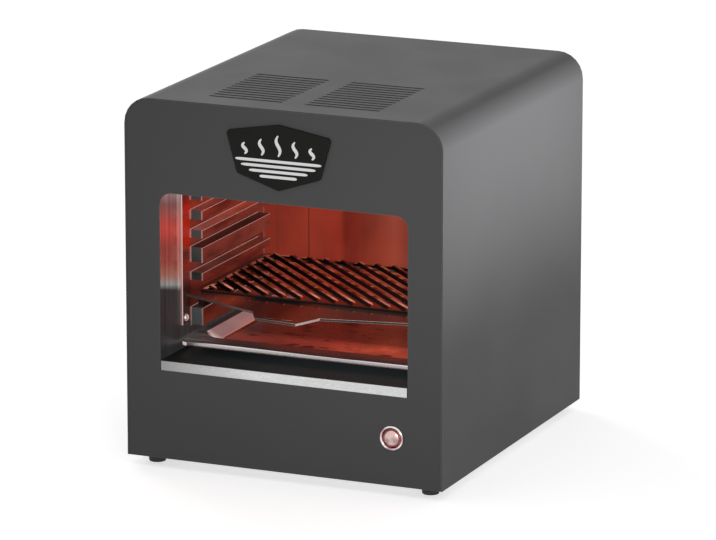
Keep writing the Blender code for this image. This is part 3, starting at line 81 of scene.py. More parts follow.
# Shader helpers
class Paint:
    """A Principled material with a few node helpers."""

    def __init__(self, name, colour, roughness, metallic=0.0, **settings):
        self.material = bpy.data.materials.new(name)
        self.material.use_nodes = True
        self.tree = self.material.node_tree
        self.shader = self.tree.nodes["Principled BSDF"]
        self.shader.inputs["Base Color"].default_value = (*colour, 1)
        self.shader.inputs["Roughness"].default_value = roughness
        self.shader.inputs["Metallic"].default_value = metallic
        for key, value in settings.items():
            self.shader.inputs[key.replace("_", " ")].default_value = value
        self.place = self.node("TexCoord").outputs["Object"]

    def node(self, kind):
        return self.tree.nodes.new("ShaderNode" + kind)

    def link(self, source, target):
        self.tree.links.new(source, target)

    def noise(self, scale, stretch=(1, 1, 1), detail=3.0, roughness=0.55):
        mapping = self.node("Mapping")
        mapping.inputs["Scale"].default_value = stretch
        self.link(self.place, mapping.inputs["Vector"])
        texture = self.node("TexNoise")
        texture.inputs["Scale"].default_value = scale
        texture.inputs["Detail"].default_value = detail
        texture.inputs["Roughness"].default_value = roughness
        self.link(mapping.outputs["Vector"], texture.inputs["Vector"])
        return texture.outputs["Fac"]

    def cells(self, scale):
        """One random grey for each cell of a Voronoi pattern."""
        texture = self.node("TexVoronoi")
        texture.inputs["Scale"].default_value = scale
        self.link(self.place, texture.inputs["Vector"])
        grey = self.node("SeparateColor")
        self.link(texture.outputs["Color"], grey.inputs["Color"])
        return grey.outputs["Red"]

    def ramp(self, source, low, high, low_value=0.0, high_value=1.0):
        """The low value up to low, the high value from high on, and a straight rise between."""
        node = self.node("MapRange")
        node.inputs["From Min"].default_value = low
        node.inputs["From Max"].default_value = high
        node.inputs["To Min"].default_value = low_value
        node.inputs["To Max"].default_value = high_value
        self.link(source, node.inputs["Value"])
        return node.outputs["Result"]

    def math(self, operation, first, second=None):
        node = self.node("Math")
        node.operation = operation
        for value, socket in ((first, node.inputs[0]), (second, node.inputs[1])):
            if isinstance(value, float):
                socket.default_value = value
            elif value is not None:
                self.link(value, socket)
        return node.outputs[0]

    def times(self, first, second):
        return self.math("MULTIPLY", first, second)

    def axis(self, name):
        node = self.node("SeparateXYZ")
        self.link(self.place, node.inputs[0])
        return node.outputs[name]

    def facing(self, name):
        """How far the surface faces along an axis, from -1 to 1."""
        node = self.node("SeparateXYZ")
        self.link(self.node("NewGeometry").outputs["Normal"], node.inputs[0])
        return node.outputs[name]

    def edges(self, radius):
        """1 near an edge sharper than the bevel radius, 0 on flat faces."""
        bevel = self.node("Bevel")
        bevel.samples = 4
        bevel.inputs["Radius"].default_value = radius
        dot = self.node("VectorMath")
        dot.operation = "DOT_PRODUCT"
        self.link(bevel.outputs["Normal"], dot.inputs[0])
        self.link(self.node("NewGeometry").outputs["Normal"], dot.inputs[1])
        return self.ramp(dot.outputs["Value"], 0.98, 0.8)

    def colours(self, source, stops):
        """The colour that belongs to a value, between stops of value and colour."""
        low, high = stops[0][0], stops[-1][0]
        node = self.node("ValToRGB")
        for i, (value, colour) in enumerate(stops):
            place = (value - low) / (high - low)
            points = node.color_ramp.elements
            point = points[i] if i < 2 else points.new(place)
            point.position = place
            point.color = (*colour, 1)
        self.link(self.ramp(source, low, high), node.inputs["Fac"])
        return node.outputs["Color"]

    def mix(self, factor, first, second):
        node = self.node("Mix")
        node.data_type = "RGBA"
        self.link(factor, node.inputs["Factor"])
        for value, socket in ((first, node.inputs["A"]), (second, node.inputs["B"])):
            if isinstance(value, tuple):
                socket.default_value = (*value, 1)
            else:
                self.link(value, socket)
        return node.outputs["Result"]

    def blend(self, factor, colour):
        """Lays another colour over the base colour where the factor is high."""
        base = self.shader.inputs["Base Color"]
        under = base.links[0].from_socket if base.is_linked else tuple(base.default_value)[:3]
        self.link(self.mix(factor, under, colour), base)
        return self

    def glow(self, colour, strength=1.0):
        """Lets the surface shine in a colour that varies over it."""
        self.link(colour, self.shader.inputs["Emission Color"])
        self.shader.inputs["Emission Strength"].default_value = strength
        return self

    def rough(self, factor, low, high):
        """Lets the roughness follow a noise between two values."""
        self.link(self.ramp(factor, 0.3, 0.7, low, high), self.shader.inputs["Roughness"])
        return self

    def bump(self, height, distance, strength=1.0):
        node = self.node("Bump")
        node.inputs["Distance"].default_value = distance
        node.inputs["Strength"].default_value = strength
        self.link(height, node.inputs["Height"])
        normal = self.shader.inputs["Normal"]
        if normal.is_linked:
            self.link(normal.links[0].from_socket, node.inputs["Normal"])
        self.link(node.outputs["Normal"], normal)
        return self


BLACK = (0.0, 0.0, 0.0)


# Materials of the outside
def grey_paint():
    """Powder paint of the housing, with a fine grain and a painted highlight along its edges."""
    paint = Paint("grey_powder_paint", (0.058, 0.058, 0.060), 0.48, 0.0, Specular_IOR_Level=0.12)
    patches = paint.noise(9.0)
    paint.blend(paint.ramp(patches, 0.35, 0.65, 0.0, 0.5), (0.061, 0.061, 0.063))
    grain = paint.noise(2600.0, detail=2.0)
    paint.blend(paint.ramp(grain, 0.55, 0.75, 0.0, 0.6), (0.080, 0.080, 0.083))
    # Painted highlight: a lighter colour near the edges.
    paint.blend(paint.times(paint.edges(0.9 * MM), 0.7), (0.15, 0.15, 0.155))
    paint.rough(patches, 0.42, 0.50)
    return paint.bump(grain, 0.06 * MM, 0.5).material


def black_enamel(name="black_enamel", colour=(0.0105, 0.0105, 0.011), shine=0.3):
    """Black enamel with a fine grain, as a paint that others build on."""
    paint = Paint(name, colour, 0.45, 0.0, Specular_IOR_Level=shine)
    grain = paint.noise(1800.0)
    lighter = tuple(value * 1.9 for value in colour)
    paint.blend(paint.ramp(grain, 0.5, 0.7, 0.0, 0.7), lighter)
    # A faint painted highlight along the edges.
    paint.blend(paint.times(paint.edges(0.8 * MM), 0.3), (0.05, 0.05, 0.05))
    paint.rough(paint.noise(25.0), 0.40, 0.52)
    return paint.bump(grain, 0.05 * MM, 0.5)


def floor_enamel():
    """The chamber's floor, a little greyer to the right, where more daylight falls on it."""
    paint = black_enamel("floor_enamel", (0.010, 0.011, 0.011), 0.05)
    light = paint.ramp(paint.axis("X"), -0.14, 0.0)
    return paint.glow(paint.mix(light, (0.000, 0.001, 0.001), (0.009, 0.011, 0.011))).material


def strip_steel():
    """The sill strip's brushed steel, in shade towards its left end."""
    paint = brushed_steel("strip_steel", (0.68, 0.69, 0.69))
    grain = paint.noise(1.0, (260.0, 1400.0, 1400.0), detail=2.0)
    paint.blend(paint.ramp(grain, 0.40, 0.62, 0.0, 0.6), (0.50, 0.51, 0.51))
    shade = paint.ramp(paint.axis("X"), -0.03, -0.15, 0.0, 0.95)
    return paint.blend(shade, (0.22, 0.22, 0.22)).material


def brushed_steel(name, colour, along=0, roughness=(0.26, 0.40)):
    """Steel with fine brush lines along one axis, as a paint that others build on."""
    paint = Paint(name, colour, 0.3, 1.0)
    stretch = [900.0, 900.0, 900.0]
    stretch[along] = 12.0
    lines = paint.noise(1.0, stretch, detail=2.0)
    paint.blend(paint.ramp(lines, 0.3, 0.7, 0.0, 0.5), tuple(value * 0.72 for value in colour))
    paint.rough(lines, *roughness)
    return paint.bump(lines, 0.04 * MM, 0.35)


def galvanised_steel():
    """Zinc with a faint spangle."""
    paint = Paint("galvanised_steel", (0.42, 0.43, 0.44), 0.42, 0.9)
    spangle = paint.cells(160.0)
    paint.blend(paint.ramp(spangle, 0.0, 1.0, 0.0, 0.7), (0.30, 0.31, 0.33))
    paint.rough(spangle, 0.34, 0.52)
    return paint.bump(paint.noise(900.0), 0.05 * MM, 0.3).material


def chrome():
    """Chrome with soft darker reflections of the red ring."""
    paint = Paint("chrome", (0.86, 0.80, 0.80), 0.12, 1.0)
    shade = paint.noise(90.0, detail=1.0)
    paint.blend(paint.ramp(shade, 0.42, 0.62), (0.46, 0.30, 0.32))
    return paint.rough(paint.noise(400.0), 0.08, 0.2).material


def red_lens():
    """The button's red light ring, dimly lit."""
    paint = Paint("red_lens", (0.14, 0.035, 0.035), 0.25, 0.0)
    depth = paint.noise(130.0, detail=1.0)
    paint.blend(paint.ramp(depth, 0.4, 0.7), (0.34, 0.15, 0.15))
    paint.glow(paint.mix(paint.ramp(depth, 0.35, 0.65), (0.03, 0.002, 0.002), (0.13, 0.012, 0.012)))
    return paint.rough(depth, 0.18, 0.28).material


def button_metal():
    """Turned face: fine rings round the cap's axis, with soft patches of painted darker and pink
    reflections.
    """
    paint = Paint("button_metal", (0.62, 0.50, 0.49), 0.25, 1.0)
    low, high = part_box("switch_cap")
    offset = paint.node("VectorMath")
    offset.operation = "SUBTRACT"
    offset.inputs[1].default_value = (low + high) / 2
    paint.link(paint.place, offset.inputs[0])
    length = paint.node("VectorMath")
    length.operation = "LENGTH"
    paint.link(offset.outputs[0], length.inputs[0])
    wave = paint.math("SINE", paint.times(length.outputs["Value"], 16000.0))
    # Painted reflections in soft patches: darker ones, then pink ones.
    painted_reflection_patches = paint.noise(110.0, detail=1.0)
    paint.blend(paint.ramp(painted_reflection_patches, 0.40, 0.62), (0.34, 0.28, 0.25))
    paint.blend(paint.ramp(paint.noise(70.0, (1.0, 1.0, 1.3), 1.0), 0.45, 0.65), (0.80, 0.52, 0.48))
    paint.blend(paint.ramp(wave, -1.0, 1.0, 0.0, 0.3), (0.36, 0.29, 0.28))
    paint.rough(paint.noise(600.0), 0.2, 0.32)
    return paint.bump(wave, 0.01 * MM, 0.4).material


# Materials of the hot chamber
BANDS_FRONT = -0.165
BANDS_FALL = 0.24


def wall_steel():
    """Polished steel with its light painted on: dark at the foot (painted shade), a pale band (painted
    reflection), red above and red-brown behind the racks (the element's light painted as a glow).

    The bands have their heights at BANDS_FRONT and fall from there towards the back.
    """
    paint = Paint("wall_steel", (0.035, 0.035, 0.036), 0.12, 1.0)
    depth = paint.math("ADD", paint.axis("Y"), -BANDS_FRONT)
    height = paint.math("ADD", paint.axis("Z"), paint.times(depth, BANDS_FALL))
    foot = paint.ramp(height, 0.194, 0.186)
    # Painted shade: the steel's colour is dark below the pale band.
    paint.blend(paint.ramp(height, 0.186, 0.194), (0.20, 0.17, 0.16))
    stops = (
        (0.125, (0.024, 0.024, 0.025)),
        (0.188, (0.032, 0.031, 0.031)),
        (0.194, (0.27, 0.28, 0.27)),
        (0.204, (0.34, 0.13, 0.10)),
        (0.218, (0.30, 0.065, 0.050)),
        (0.234, (0.29, 0.050, 0.042)),
        (0.255, (0.50, 0.060, 0.050)),
        (0.280, (0.17, 0.080, 0.078)),
        (0.292, (0.26, 0.18, 0.185)),
    )
    streaks = paint.noise(1.0, (300.0, 420.0, 5.0), detail=2.0)
    # The painted light of the bands, made patchy by the streaks.
    light = paint.colours(height, stops)
    light = paint.mix(paint.ramp(streaks, 0.62, 0.30, 0.0, 0.45), light, BLACK)
    behind = paint.ramp(paint.axis("Y"), RACK_BACK - 6 * MM, RACK_BACK)
    paint.blend(behind, (0.07, 0.035, 0.03))
    paint.glow(paint.mix(behind, light, (0.17, 0.019, 0.010)))
    polish = paint.ramp(streaks, 0.3, 0.7, 0.17, 0.27)
    paint.link(paint.math("MAXIMUM", polish, paint.times(foot, 0.4)), paint.shader.inputs["Roughness"])
    return paint.bump(streaks, 0.02 * MM, 0.3).material


def back_steel():
    """The chamber's back in the element's light, with darker upright bands."""
    paint = Paint("back_steel", (0.085, 0.045, 0.035), 0.42, 1.0)
    across = paint.math("ABSOLUTE", paint.axis("X"))
    stops = (
        (0.0, (0.24, 0.048, 0.030)),
        (0.022, (0.12, 0.018, 0.011)),
        (0.041, (0.15, 0.012, 0.006)),
        (0.058, (0.12, 0.007, 0.004)),
        (0.066, (0.22, 0.016, 0.008)),
        (0.095, (0.19, 0.018, 0.010)),
        (0.140, (0.14, 0.017, 0.010)),
    )
    light = paint.colours(across, stops)
    patches = paint.noise(16.0, (1.0, 1.0, 0.5))
    light = paint.mix(paint.ramp(patches, 0.40, 0.65, 0.0, 0.5), light, (0.34, 0.035, 0.014))
    light = paint.mix(paint.ramp(paint.axis("Z"), 0.20, 0.28, 0.0, 0.2), light, (0.34, 0.04, 0.016))
    under_roof = paint.ramp(paint.axis("Z"), 0.284, 0.302)
    paint.glow(paint.mix(under_roof, light, (0.60, 0.05, 0.02)))
    paint.rough(patches, 0.36, 0.5)
    return paint.bump(paint.noise(500.0), 0.03 * MM, 0.3).material


def rack_side():
    """Upright faces of the racks, with the element's light painted on as a glow: a bright red margin
    in front, darker red along the ridges, patches of painted shade, and a pale painted highlight at
    the back end.
    """
    paint = Paint("rack_side", (0.09, 0.055, 0.05), 0.22, 1.0)
    margin = (
        (0.135, (0.010, 0.005, 0.005)),
        (0.182, (0.030, 0.010, 0.010)),
        (0.196, (0.14, 0.020, 0.015)),
        (0.232, (0.32, 0.013, 0.005)),
        (0.262, (0.44, 0.013, 0.004)),
        (0.285, (0.13, 0.010, 0.006)),
    )
    ridges = (
        (0.135, (0.10, 0.018, 0.010)),
        (0.190, (0.12, 0.015, 0.010)),
        (0.210, (0.14, 0.028, 0.019)),
        (0.240, (0.15, 0.024, 0.016)),
        (0.285, (0.24, 0.022, 0.010)),
    )
    height = paint.axis("Z")
    behind = paint.ramp(paint.axis("Y"), RIDGE_FRONT - 0.5 * MM, RIDGE_FRONT)
    light = paint.mix(behind, paint.colours(height, margin), paint.colours(height, ridges))
    patches = paint.noise(1.0, (30.0, 14.0, 60.0))
    light = paint.mix(paint.ramp(patches, 0.60, 0.35, 0.0, 0.75), light, (0.03, 0.005, 0.004))
    # A pale painted highlight on the back end.
    end = paint.ramp(paint.axis("Y"), RACK_BACK - 1.6 * MM, RACK_BACK - 1.2 * MM)
    paint.glow(paint.mix(end, light, (0.26, 0.15, 0.14)))
    paint.rough(patches, 0.16, 0.28)
    return paint.bump(paint.noise(1.0, (40.0, 12.0, 300.0)), 0.03 * MM, 0.3).material


def by_ridge(paint, levels):
    """One level for each ridge's height, from the lowest up."""
    greys = [(level, level, level) for level in levels]
    return paint.colours(paint.axis("Z"), tuple(zip(RIDGE_TOPS, greys)))


def rack_top():
    """Upper faces of the ridges: some take the element's light, others lie in the shade."""
    paint = Paint("rack_top", (0.016, 0.014, 0.014), 0.2, 1.0)
    level = by_ridge(paint, (0.10, 0.28, 0.0, 1.0, 0.50, 0.40))
    paint.blend(level, (0.22, 0.18, 0.17))
    toward_back = paint.ramp(paint.axis("Y"), RIDGE_FRONT, RIDGE_FRONT + 0.12)
    tint = paint.mix(toward_back, (0.24, 0.075, 0.062), (0.26, 0.040, 0.020))
    light = paint.mix(level, (0.008, 0.003, 0.003), tint)
    patches = paint.noise(1.0, (60.0, 16.0, 60.0))
    paint.glow(paint.mix(paint.ramp(patches, 0.62, 0.35, 0.0, 0.5), light, BLACK))
    paint.rough(patches, 0.14, 0.26)
    return paint.bump(patches, 0.03 * MM, 0.3).material


def rack_end():
    """Front ends of the ridges: blue-grey painted light, one in the grate's painted shadow."""
    paint = Paint("rack_end", (0.012, 0.015, 0.014), 0.5, 0.4)
    level = by_ridge(paint, (0.62, 0.0, 0.42, 0.5, 0.45, 0.45))
    paint.blend(level, (0.08, 0.09, 0.092))
    soot = paint.noise(220.0)
    light = paint.mix(level, (0.000, 0.001, 0.001), (0.030, 0.035, 0.036))
    # Soot patches also dim the painted light.
    paint.glow(paint.mix(paint.ramp(soot, 0.45, 0.7, 0.0, 0.5), light, (0.010, 0.010, 0.011)))
    return paint.rough(soot, 0.4, 0.55).material


def painted_edge_highlight():
    """Sheet edges in the chamber, rubbed in patches, with a painted highlight that is brightest where
    they face sideways.
    """
    paint = Paint("painted_edge_highlight", (0.45, 0.40, 0.38), 0.28, 1.0)
    rub = paint.noise(1.0, (60.0, 60.0, 25.0))
    paint.blend(paint.ramp(rub, 0.45, 0.7, 0.0, 0.6), (0.40, 0.30, 0.28))
    # The painted highlight, patchy with the rub pattern.
    light = paint.mix(rub, (0.17, 0.060, 0.050), (0.08, 0.028, 0.022))
    corner = paint.ramp(paint.math("ABSOLUTE", paint.facing("X")), 0.2, 0.6)
    paint.glow(paint.mix(corner, light, (0.40, 0.30, 0.28)))
    return paint.rough(rub, 0.22, 0.36).material


def grate_edge():
    """The grate's front edges, with painted light: painted shade at the left and a painted highlight
    at the right.
    """
    paint = Paint("grate_edge", (0.10, 0.075, 0.07), 0.3, 1.0)
    # Painted highlight: lighter steel towards the right.
    paint.blend(paint.ramp(paint.axis("X"), -0.04, 0.02), (0.50, 0.44, 0.42))
    rub = paint.noise(160.0)
    paint.blend(paint.ramp(rub, 0.45, 0.7, 0.0, 0.5), (0.16, 0.12, 0.11))
    # The painted highlight's glow, towards the right.
    right = paint.ramp(paint.axis("X"), -0.01, 0.03)
    paint.glow(paint.mix(right, (0.030, 0.022, 0.020), (0.34, 0.26, 0.24)))
    return paint.rough(rub, 0.25, 0.4).material


def bolt_steel():
    """Bright bolt heads that catch the element's light."""
    paint = brushed_steel("bolt_steel", (0.80, 0.76, 0.74), 1, (0.15, 0.25))
    return paint.glow(paint.mix(paint.noise(300.0), (0.34, 0.26, 0.25), (0.20, 0.14, 0.13))).material


def roof_steel():
    """The reflector over the element, with the element's red light painted on it as a glow."""
    paint = Paint("roof_steel", (0.50, 0.42, 0.38), 0.25, 1.0)
    heat = paint.noise(18.0)
    # Painted light: a red glow in patches.
    paint.glow(paint.mix(heat, (0.30, 0.030, 0.010), (0.48, 0.085, 0.025)))
    return paint.rough(heat, 0.18, 0.34).bump(heat, 0.05 * MM, 0.3).material


def dark_steel():
    """The grate's sheet: nearly black polish, with painted red reflections of what is round it on its
    upper faces.
    """
    paint = Paint("dark_steel", (0.055, 0.050, 0.048), 0.1, 1.0)
    smoke = paint.noise(35.0, detail=4.0)
    paint.blend(paint.ramp(smoke, 0.4, 0.7, 0.0, 0.8), (0.025, 0.020, 0.019))
    stops = (
        (-0.135, (0.012, 0.005, 0.004)),
        (-0.110, (0.030, 0.007, 0.005)),
        (-0.078, (0.13, 0.017, 0.007)),
        (-0.056, (0.006, 0.003, 0.003)),
        (-0.010, (0.003, 0.002, 0.002)),
        (0.012, (0.055, 0.010, 0.006)),
        (0.040, (0.028, 0.014, 0.012)),
        (0.135, (0.018, 0.008, 0.007)),
    )
    # Painted reflections, by place across.
    light = paint.colours(paint.axis("X"), stops)
    up = paint.ramp(paint.facing("Z"), 0.5, 0.9)
    paint.glow(paint.mix(up, BLACK, light))
    paint.rough(smoke, 0.05, 0.16)
    return paint.bump(paint.noise(700.0), 0.02 * MM, 0.3).material


def bar_iron():
    """The bars' sooty flanks."""
    paint = Paint("bar_iron", (0.018, 0.014, 0.013), 0.4, 0.85)
    soot = paint.noise(120.0, detail=4.0)
    paint.blend(paint.ramp(soot, 0.45, 0.7, 0.0, 0.8), (0.012, 0.010, 0.009))
    paint.rough(soot, 0.30, 0.5)
    return paint.bump(soot, 0.2 * MM, 0.5).material


def bar_crest():
    """The bars' crests, rubbed bare, with the element's light painted on as a patchy highlight,
    brightest at their front ends.
    """
    paint = Paint("bar_crest", (0.10, 0.06, 0.05), 0.28, 1.0)
    wear_and_highlight = paint.noise(65.0)
    # Painted highlight, patchy with the wear pattern.
    light = paint.mix(paint.ramp(wear_and_highlight, 0.46, 0.60), (0.010, 0.003, 0.002), (0.24, 0.060, 0.034))
    depth = paint.axis("Y")
    front = paint.ramp(depth, BARS_FRONT + 33.75 * MM, BARS_FRONT + 10.75 * MM)
    light = paint.mix(paint.times(front, wear_and_highlight), light, (0.85, 0.30, 0.20))
    crossbar = paint.ramp(depth, BARS_FRONT + 6.25 * MM, BARS_FRONT + 5.55 * MM)
    paint.glow(paint.mix(crossbar, light, (0.012, 0.004, 0.003)))
    return paint.rough(wear_and_highlight, 0.2, 0.4).bump(wear_and_highlight, 0.1 * MM, 0.3).material


def pan_steel():
    """Brushed steel pan with burnt stains on its bottom, the element's red light painted on it as a
    glow, and a painted shadow under the grate.
    """
    paint = brushed_steel("pan_steel", (0.20, 0.17, 0.165), 0, (0.2, 0.32))
    floor = paint.ramp(paint.axis("Z"), PAN_FLOOR, PAN_LOW.z + 1.6 * MM)
    stains = paint.ramp(paint.noise(30.0, (1.0, 1.6, 1.0), detail=5.0), 0.585, 0.635)
    dark = paint.times(stains, floor)
    paint.blend(dark, (0.05, 0.02, 0.015))
    # The element's red light, painted on the bottom as a glow, by place across.
    stops = (
        (-0.12, (0.125, 0.021, 0.014)),
        (-0.01, (0.160, 0.021, 0.016)),
        (0.05, (0.42, 0.058, 0.030)),
        (0.12, (0.22, 0.030, 0.018)),
    )
    light = paint.colours(paint.axis("X"), stops)
    # Darker patches in the painted light.
    painted_light_patches = paint.ramp(paint.noise(22.0), 0.42, 0.62, 0.0, 0.85)
    light = paint.mix(painted_light_patches, light, (0.085, 0.014, 0.010))
    light = paint.mix(dark, light, (0.03, 0.006, 0.005))
    # Painted shadow under the grate.
    shade = paint.ramp(paint.axis("Y"), -0.062, -0.040, 0.0, 0.85)
    light = paint.mix(shade, light, (0.010, 0.003, 0.002))
    paint.glow(paint.mix(floor, BLACK, light))
    return paint.material


def pan_slope():
    """The pan's sloping sides, pale from the wall's reflected light."""
    paint = brushed_steel("pan_slope", (0.45, 0.40, 0.40), 1, (0.16, 0.26))
    painted_light_patches = paint.noise(30.0)
    light = paint.mix(painted_light_patches, (0.27, 0.16, 0.16), (0.18, 0.10, 0.10))
    # Painted highlights at the front corner and along the foot of the slopes.
    corner = paint.ramp(paint.axis("Y"), PAN_LOW.y + 58 * MM, PAN_LOW.y + 40 * MM)
    light = paint.mix(corner, light, (0.60, 0.45, 0.41))
    foot = paint.ramp(paint.axis("Z"), PAN_LOW.z + 3.4 * MM, PAN_LOW.z + 2.0 * MM)
    light = paint.mix(foot, light, (0.44, 0.15, 0.11))
    sideways = paint.ramp(paint.math("ABSOLUTE", paint.facing("X")), 0.02, 0.12)
    return paint.glow(paint.mix(sideways, (0.020, 0.005, 0.004), light)).material


def pan_rim():
    """The rolled rim, with painted shade at the left corner and underneath."""
    paint = brushed_steel("pan_rim", (0.66, 0.74, 0.74), 0, (0.14, 0.24))
    # Painted shade: darker towards the left and on the faces that look down.
    painted_shade_left = paint.ramp(paint.axis("X"), -0.085, -0.136, 0.0, 0.80)
    under = paint.ramp(paint.facing("Z"), -0.35, -0.8, 0.0, 0.8)
    return paint.blend(paint.math("MAXIMUM", painted_shade_left, under), (0.10, 0.10, 0.10)).material


def pan_flange():
    """The flat rim: a painted grey highlight at the front left corner, dark elsewhere."""
    paint = brushed_steel("pan_flange", (0.13, 0.125, 0.125), 0, (0.2, 0.3))
    # Painted highlight at the front left corner, in patches.
    corner = paint.times(
        paint.ramp(paint.axis("X"), -0.085, -0.12),
        paint.ramp(paint.axis("Y"), -0.08, -0.13),
    )
    painted_light_patches = paint.times(corner, paint.ramp(paint.noise(1.0, (20.0, 90.0, 20.0)), 0.35, 0.6))
    return paint.glow(paint.mix(painted_light_patches, (0.014, 0.011, 0.011), (0.075, 0.068, 0.067))).material


def glowing_rod():
    """The element's glowing rod."""
    paint = Paint("hot_rod", (0.10, 0.05, 0.04), 0.6, 0.3)
    heat = paint.ramp(paint.noise(60.0), 0.35, 0.65)
    paint.glow(paint.mix(heat, (1.0, 0.08, 0.015), (1.0, 0.20, 0.04)), 3.0)
    return paint.bump(paint.noise(1500.0), 0.1 * MM, 0.5).material


# Materials of the inner parts
def plain(name, colour, second, roughness, scale, metallic=0.0, depth=0.1):
    """A cast or moulded surface with a fine grain of a second colour."""
    paint = Paint(name, colour, roughness[0], metallic)
    grain = paint.noise(scale, detail=4.0)
    paint.blend(paint.ramp(grain, 0.5, 0.7), second)
    paint.rough(grain, *roughness)
    return paint.bump(grain, depth * MM, 0.5).material


def wool():
    """Pale ceramic wool with fine fibres."""
    paint = Paint("ceramic_wool", (0.78, 0.76, 0.70), 0.95, 0.0, Sheen_Weight=0.3)
    fibres = paint.noise(420.0, (1.0, 1.0, 5.0), detail=6.0, roughness=0.7)
    paint.blend(paint.ramp(fibres, 0.4, 0.65), (0.62, 0.59, 0.53))
    return paint.bump(fibres, 1.5 * MM, 0.8).material


PAINT = grey_paint()
ENAMEL = black_enamel().material
BRUSHED = brushed_steel("brushed_steel", (0.64, 0.64, 0.65)).material
RIM = pan_rim()
FLANGE = pan_flange()
GALVANISED = galvanised_steel()
CHROME = chrome()
RUBBER = plain("black_rubber", (0.011, 0.011, 0.011), (0.022, 0.022, 0.022), (0.55, 0.75), 1600.0)
PLASTIC = plain("black_plastic", (0.018, 0.018, 0.019), (0.028, 0.028, 0.030), (0.38, 0.5), 2200.0)
CERAMIC = plain("ceramic", (0.66, 0.62, 0.54), (0.56, 0.50, 0.42), (0.4, 0.55), 700.0)
WALL = wall_steel()
EDGE = painted_edge_highlight()
LOOKS = {
    "grey_paint": PAINT,
    "black_enamel": ENAMEL,
    "brushed_steel": BRUSHED,
    "polished_steel": WALL,
    "galvanised_steel": GALVANISED,
    "dark_steel": dark_steel(),
    "bar_iron": bar_iron(),
    "chrome": CHROME,
    "red_lens": red_lens(),
    "hot_rod": glowing_rod(),
    "ceramic": CERAMIC,
    "ceramic_wool": wool(),
    "black_rubber": RUBBER,
    "black_plastic": PLASTIC,
}
SPECIAL = {
    "switch_cap": button_metal(),
    "drip_pan": pan_steel(),
    "chamber_back": back_steel(),
    "reflector": roof_steel(),
    "badge_plate": black_enamel("badge_enamel", (0.0050, 0.0050, 0.0044), 0.12).material,
    "chamber_floor": floor_enamel(),
    "sill_strip": strip_steel(),
}
BOLT = bolt_steel()
for node_name in SLOT_OF:
    if node_name.startswith("rack_bolt"):
        SPECIAL[node_name] = BOLT


def look_of(node):
    """The material of a node: its own, or the one of its slot."""
    return SPECIAL.get(node, LOOKS[SLOT_OF[node]])


# Mesh helpers
def add_piece(name, bm, materials, node=None, body=None, smooth=40):
    """Turns a bmesh into a piece that stands for a node, or rides on a body as one more piece."""
    bmesh.ops.recalc_face_normals(bm, faces=bm.faces)
    mesh = bpy.data.meshes.new(name)
    bm.to_mesh(mesh)
    bm.free()
    mesh.shade_smooth()
    mesh.set_sharp_from_angle(angle=math.radians(smooth))
    for material in materials:
        mesh.materials.append(material)
    piece = bpy.data.objects.new(name, mesh)
    bpy.context.scene.collection.objects.link(piece)
    weighted = piece.modifiers.new("normals", "WEIGHTED_NORMAL")
    weighted.keep_sharp = True
    weighted.weight = 100
    if node:
        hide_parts(node)
        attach(piece, BODY_OF.get(node, "grill"))
    else:
        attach(piece, body)
    return piece


def add_box(low, high, bm):
    """Adds a box between two corners."""
    for vert in bmesh.ops.create_cube(bm, size=1.0)["verts"]:
        vert.co = Vector(low[i] + (vert.co[i] + 0.5) * (high[i] - low[i]) for i in range(3))


def turned(profile, place, axis, sides=64):
    """Turns a profile of radius and distance along an axis; one that starts off it makes a ring."""
    bm = bmesh.new()
    along = Vector(axis).normalized()
    side = along.orthogonal().normalized()
    across = along.cross(side)
    rings = []
    for radius, distance in profile:
        middle = Vector(place) + along * distance
        if radius == 0:
            rings.append([bm.verts.new(middle)])
            continue
        turns = [2 * math.pi * i / sides for i in range(sides)]
        spokes = [side * math.cos(turn) + across * math.sin(turn) for turn in turns]
        rings.append([bm.verts.new(middle + spoke * radius) for spoke in spokes])
    pairs = list(zip(rings, rings[1:]))
    if profile[0][0] != 0:
        pairs.append((rings[-1], rings[0]))
    for lower, upper in pairs:
        for i in range(sides):
            j = (i + 1) % sides
            corners = [lower[i % len(lower)], lower[j % len(lower)]]
            corners += [upper[j % len(upper)], upper[i % len(upper)]]
            bm.faces.new(list(dict.fromkeys(corners)))
    return bm


def arc(centre, radii, start, end, steps=8):
    """Points of an elliptic arc in the profile's plane, by angle in degrees."""
    points = []
    for i in range(steps + 1):
        angle = math.radians(start + (end - start) * i / steps)
        points.append((centre[0] + radii[0] * math.cos(angle), centre[1] + radii[1] * math.sin(angle)))
    return points


def carved(bm, cutter):
    """The first shape with the second cut out of it."""
    items = []
    for shape in (bm, cutter):
        bmesh.ops.recalc_face_normals(shape, faces=shape.faces)
        mesh = bpy.data.meshes.new("shape")
        shape.to_mesh(mesh)
        shape.free()
        item = bpy.data.objects.new("shape", mesh)
        bpy.context.scene.collection.objects.link(item)
        items.append(item)
    difference = items[0].modifiers.new("cut", "BOOLEAN")
    difference.object = items[1]
    difference.solver = "EXACT"
    depsgraph = bpy.context.evaluated_depsgraph_get()
    result = bmesh.new()
    result.from_object(items[0], depsgraph)
    for item in items:
        bpy.data.objects.remove(item, do_unlink=True)
    return result


def refined(node, width, materials=None, choose=None, extra=None, segments=2, sharp=50):
    """A copy of a CAD node with its sharp edges rounded, and a material chosen for each face."""
    bm = bmesh.new()
    bm.from_mesh(NODES[node].data)
    bmesh.ops.remove_doubles(bm, verts=bm.verts, dist=1e-6)
    bmesh.ops.dissolve_limit(bm, angle_limit=math.radians(1), verts=bm.verts, edges=bm.edges)
    keen = [
        edge
        for edge in bm.edges
        if len(edge.link_faces) == 2 and edge.calc_face_angle() > math.radians(sharp)
    ]
    bmesh.ops.bevel(
        bm,
        geom=keen,
        offset=width,
        segments=segments,
        profile=0.5,
        affect="EDGES",
        clamp_overlap=True,
    )
    if extra:
        extra(bm)
    bm.normal_update()
    if choose:
        for face in bm.faces:
            face.material_index = choose(face.normal, face.calc_center_median())
    return add_piece(node + "_edged", bm, materials or [look_of(node)], node)


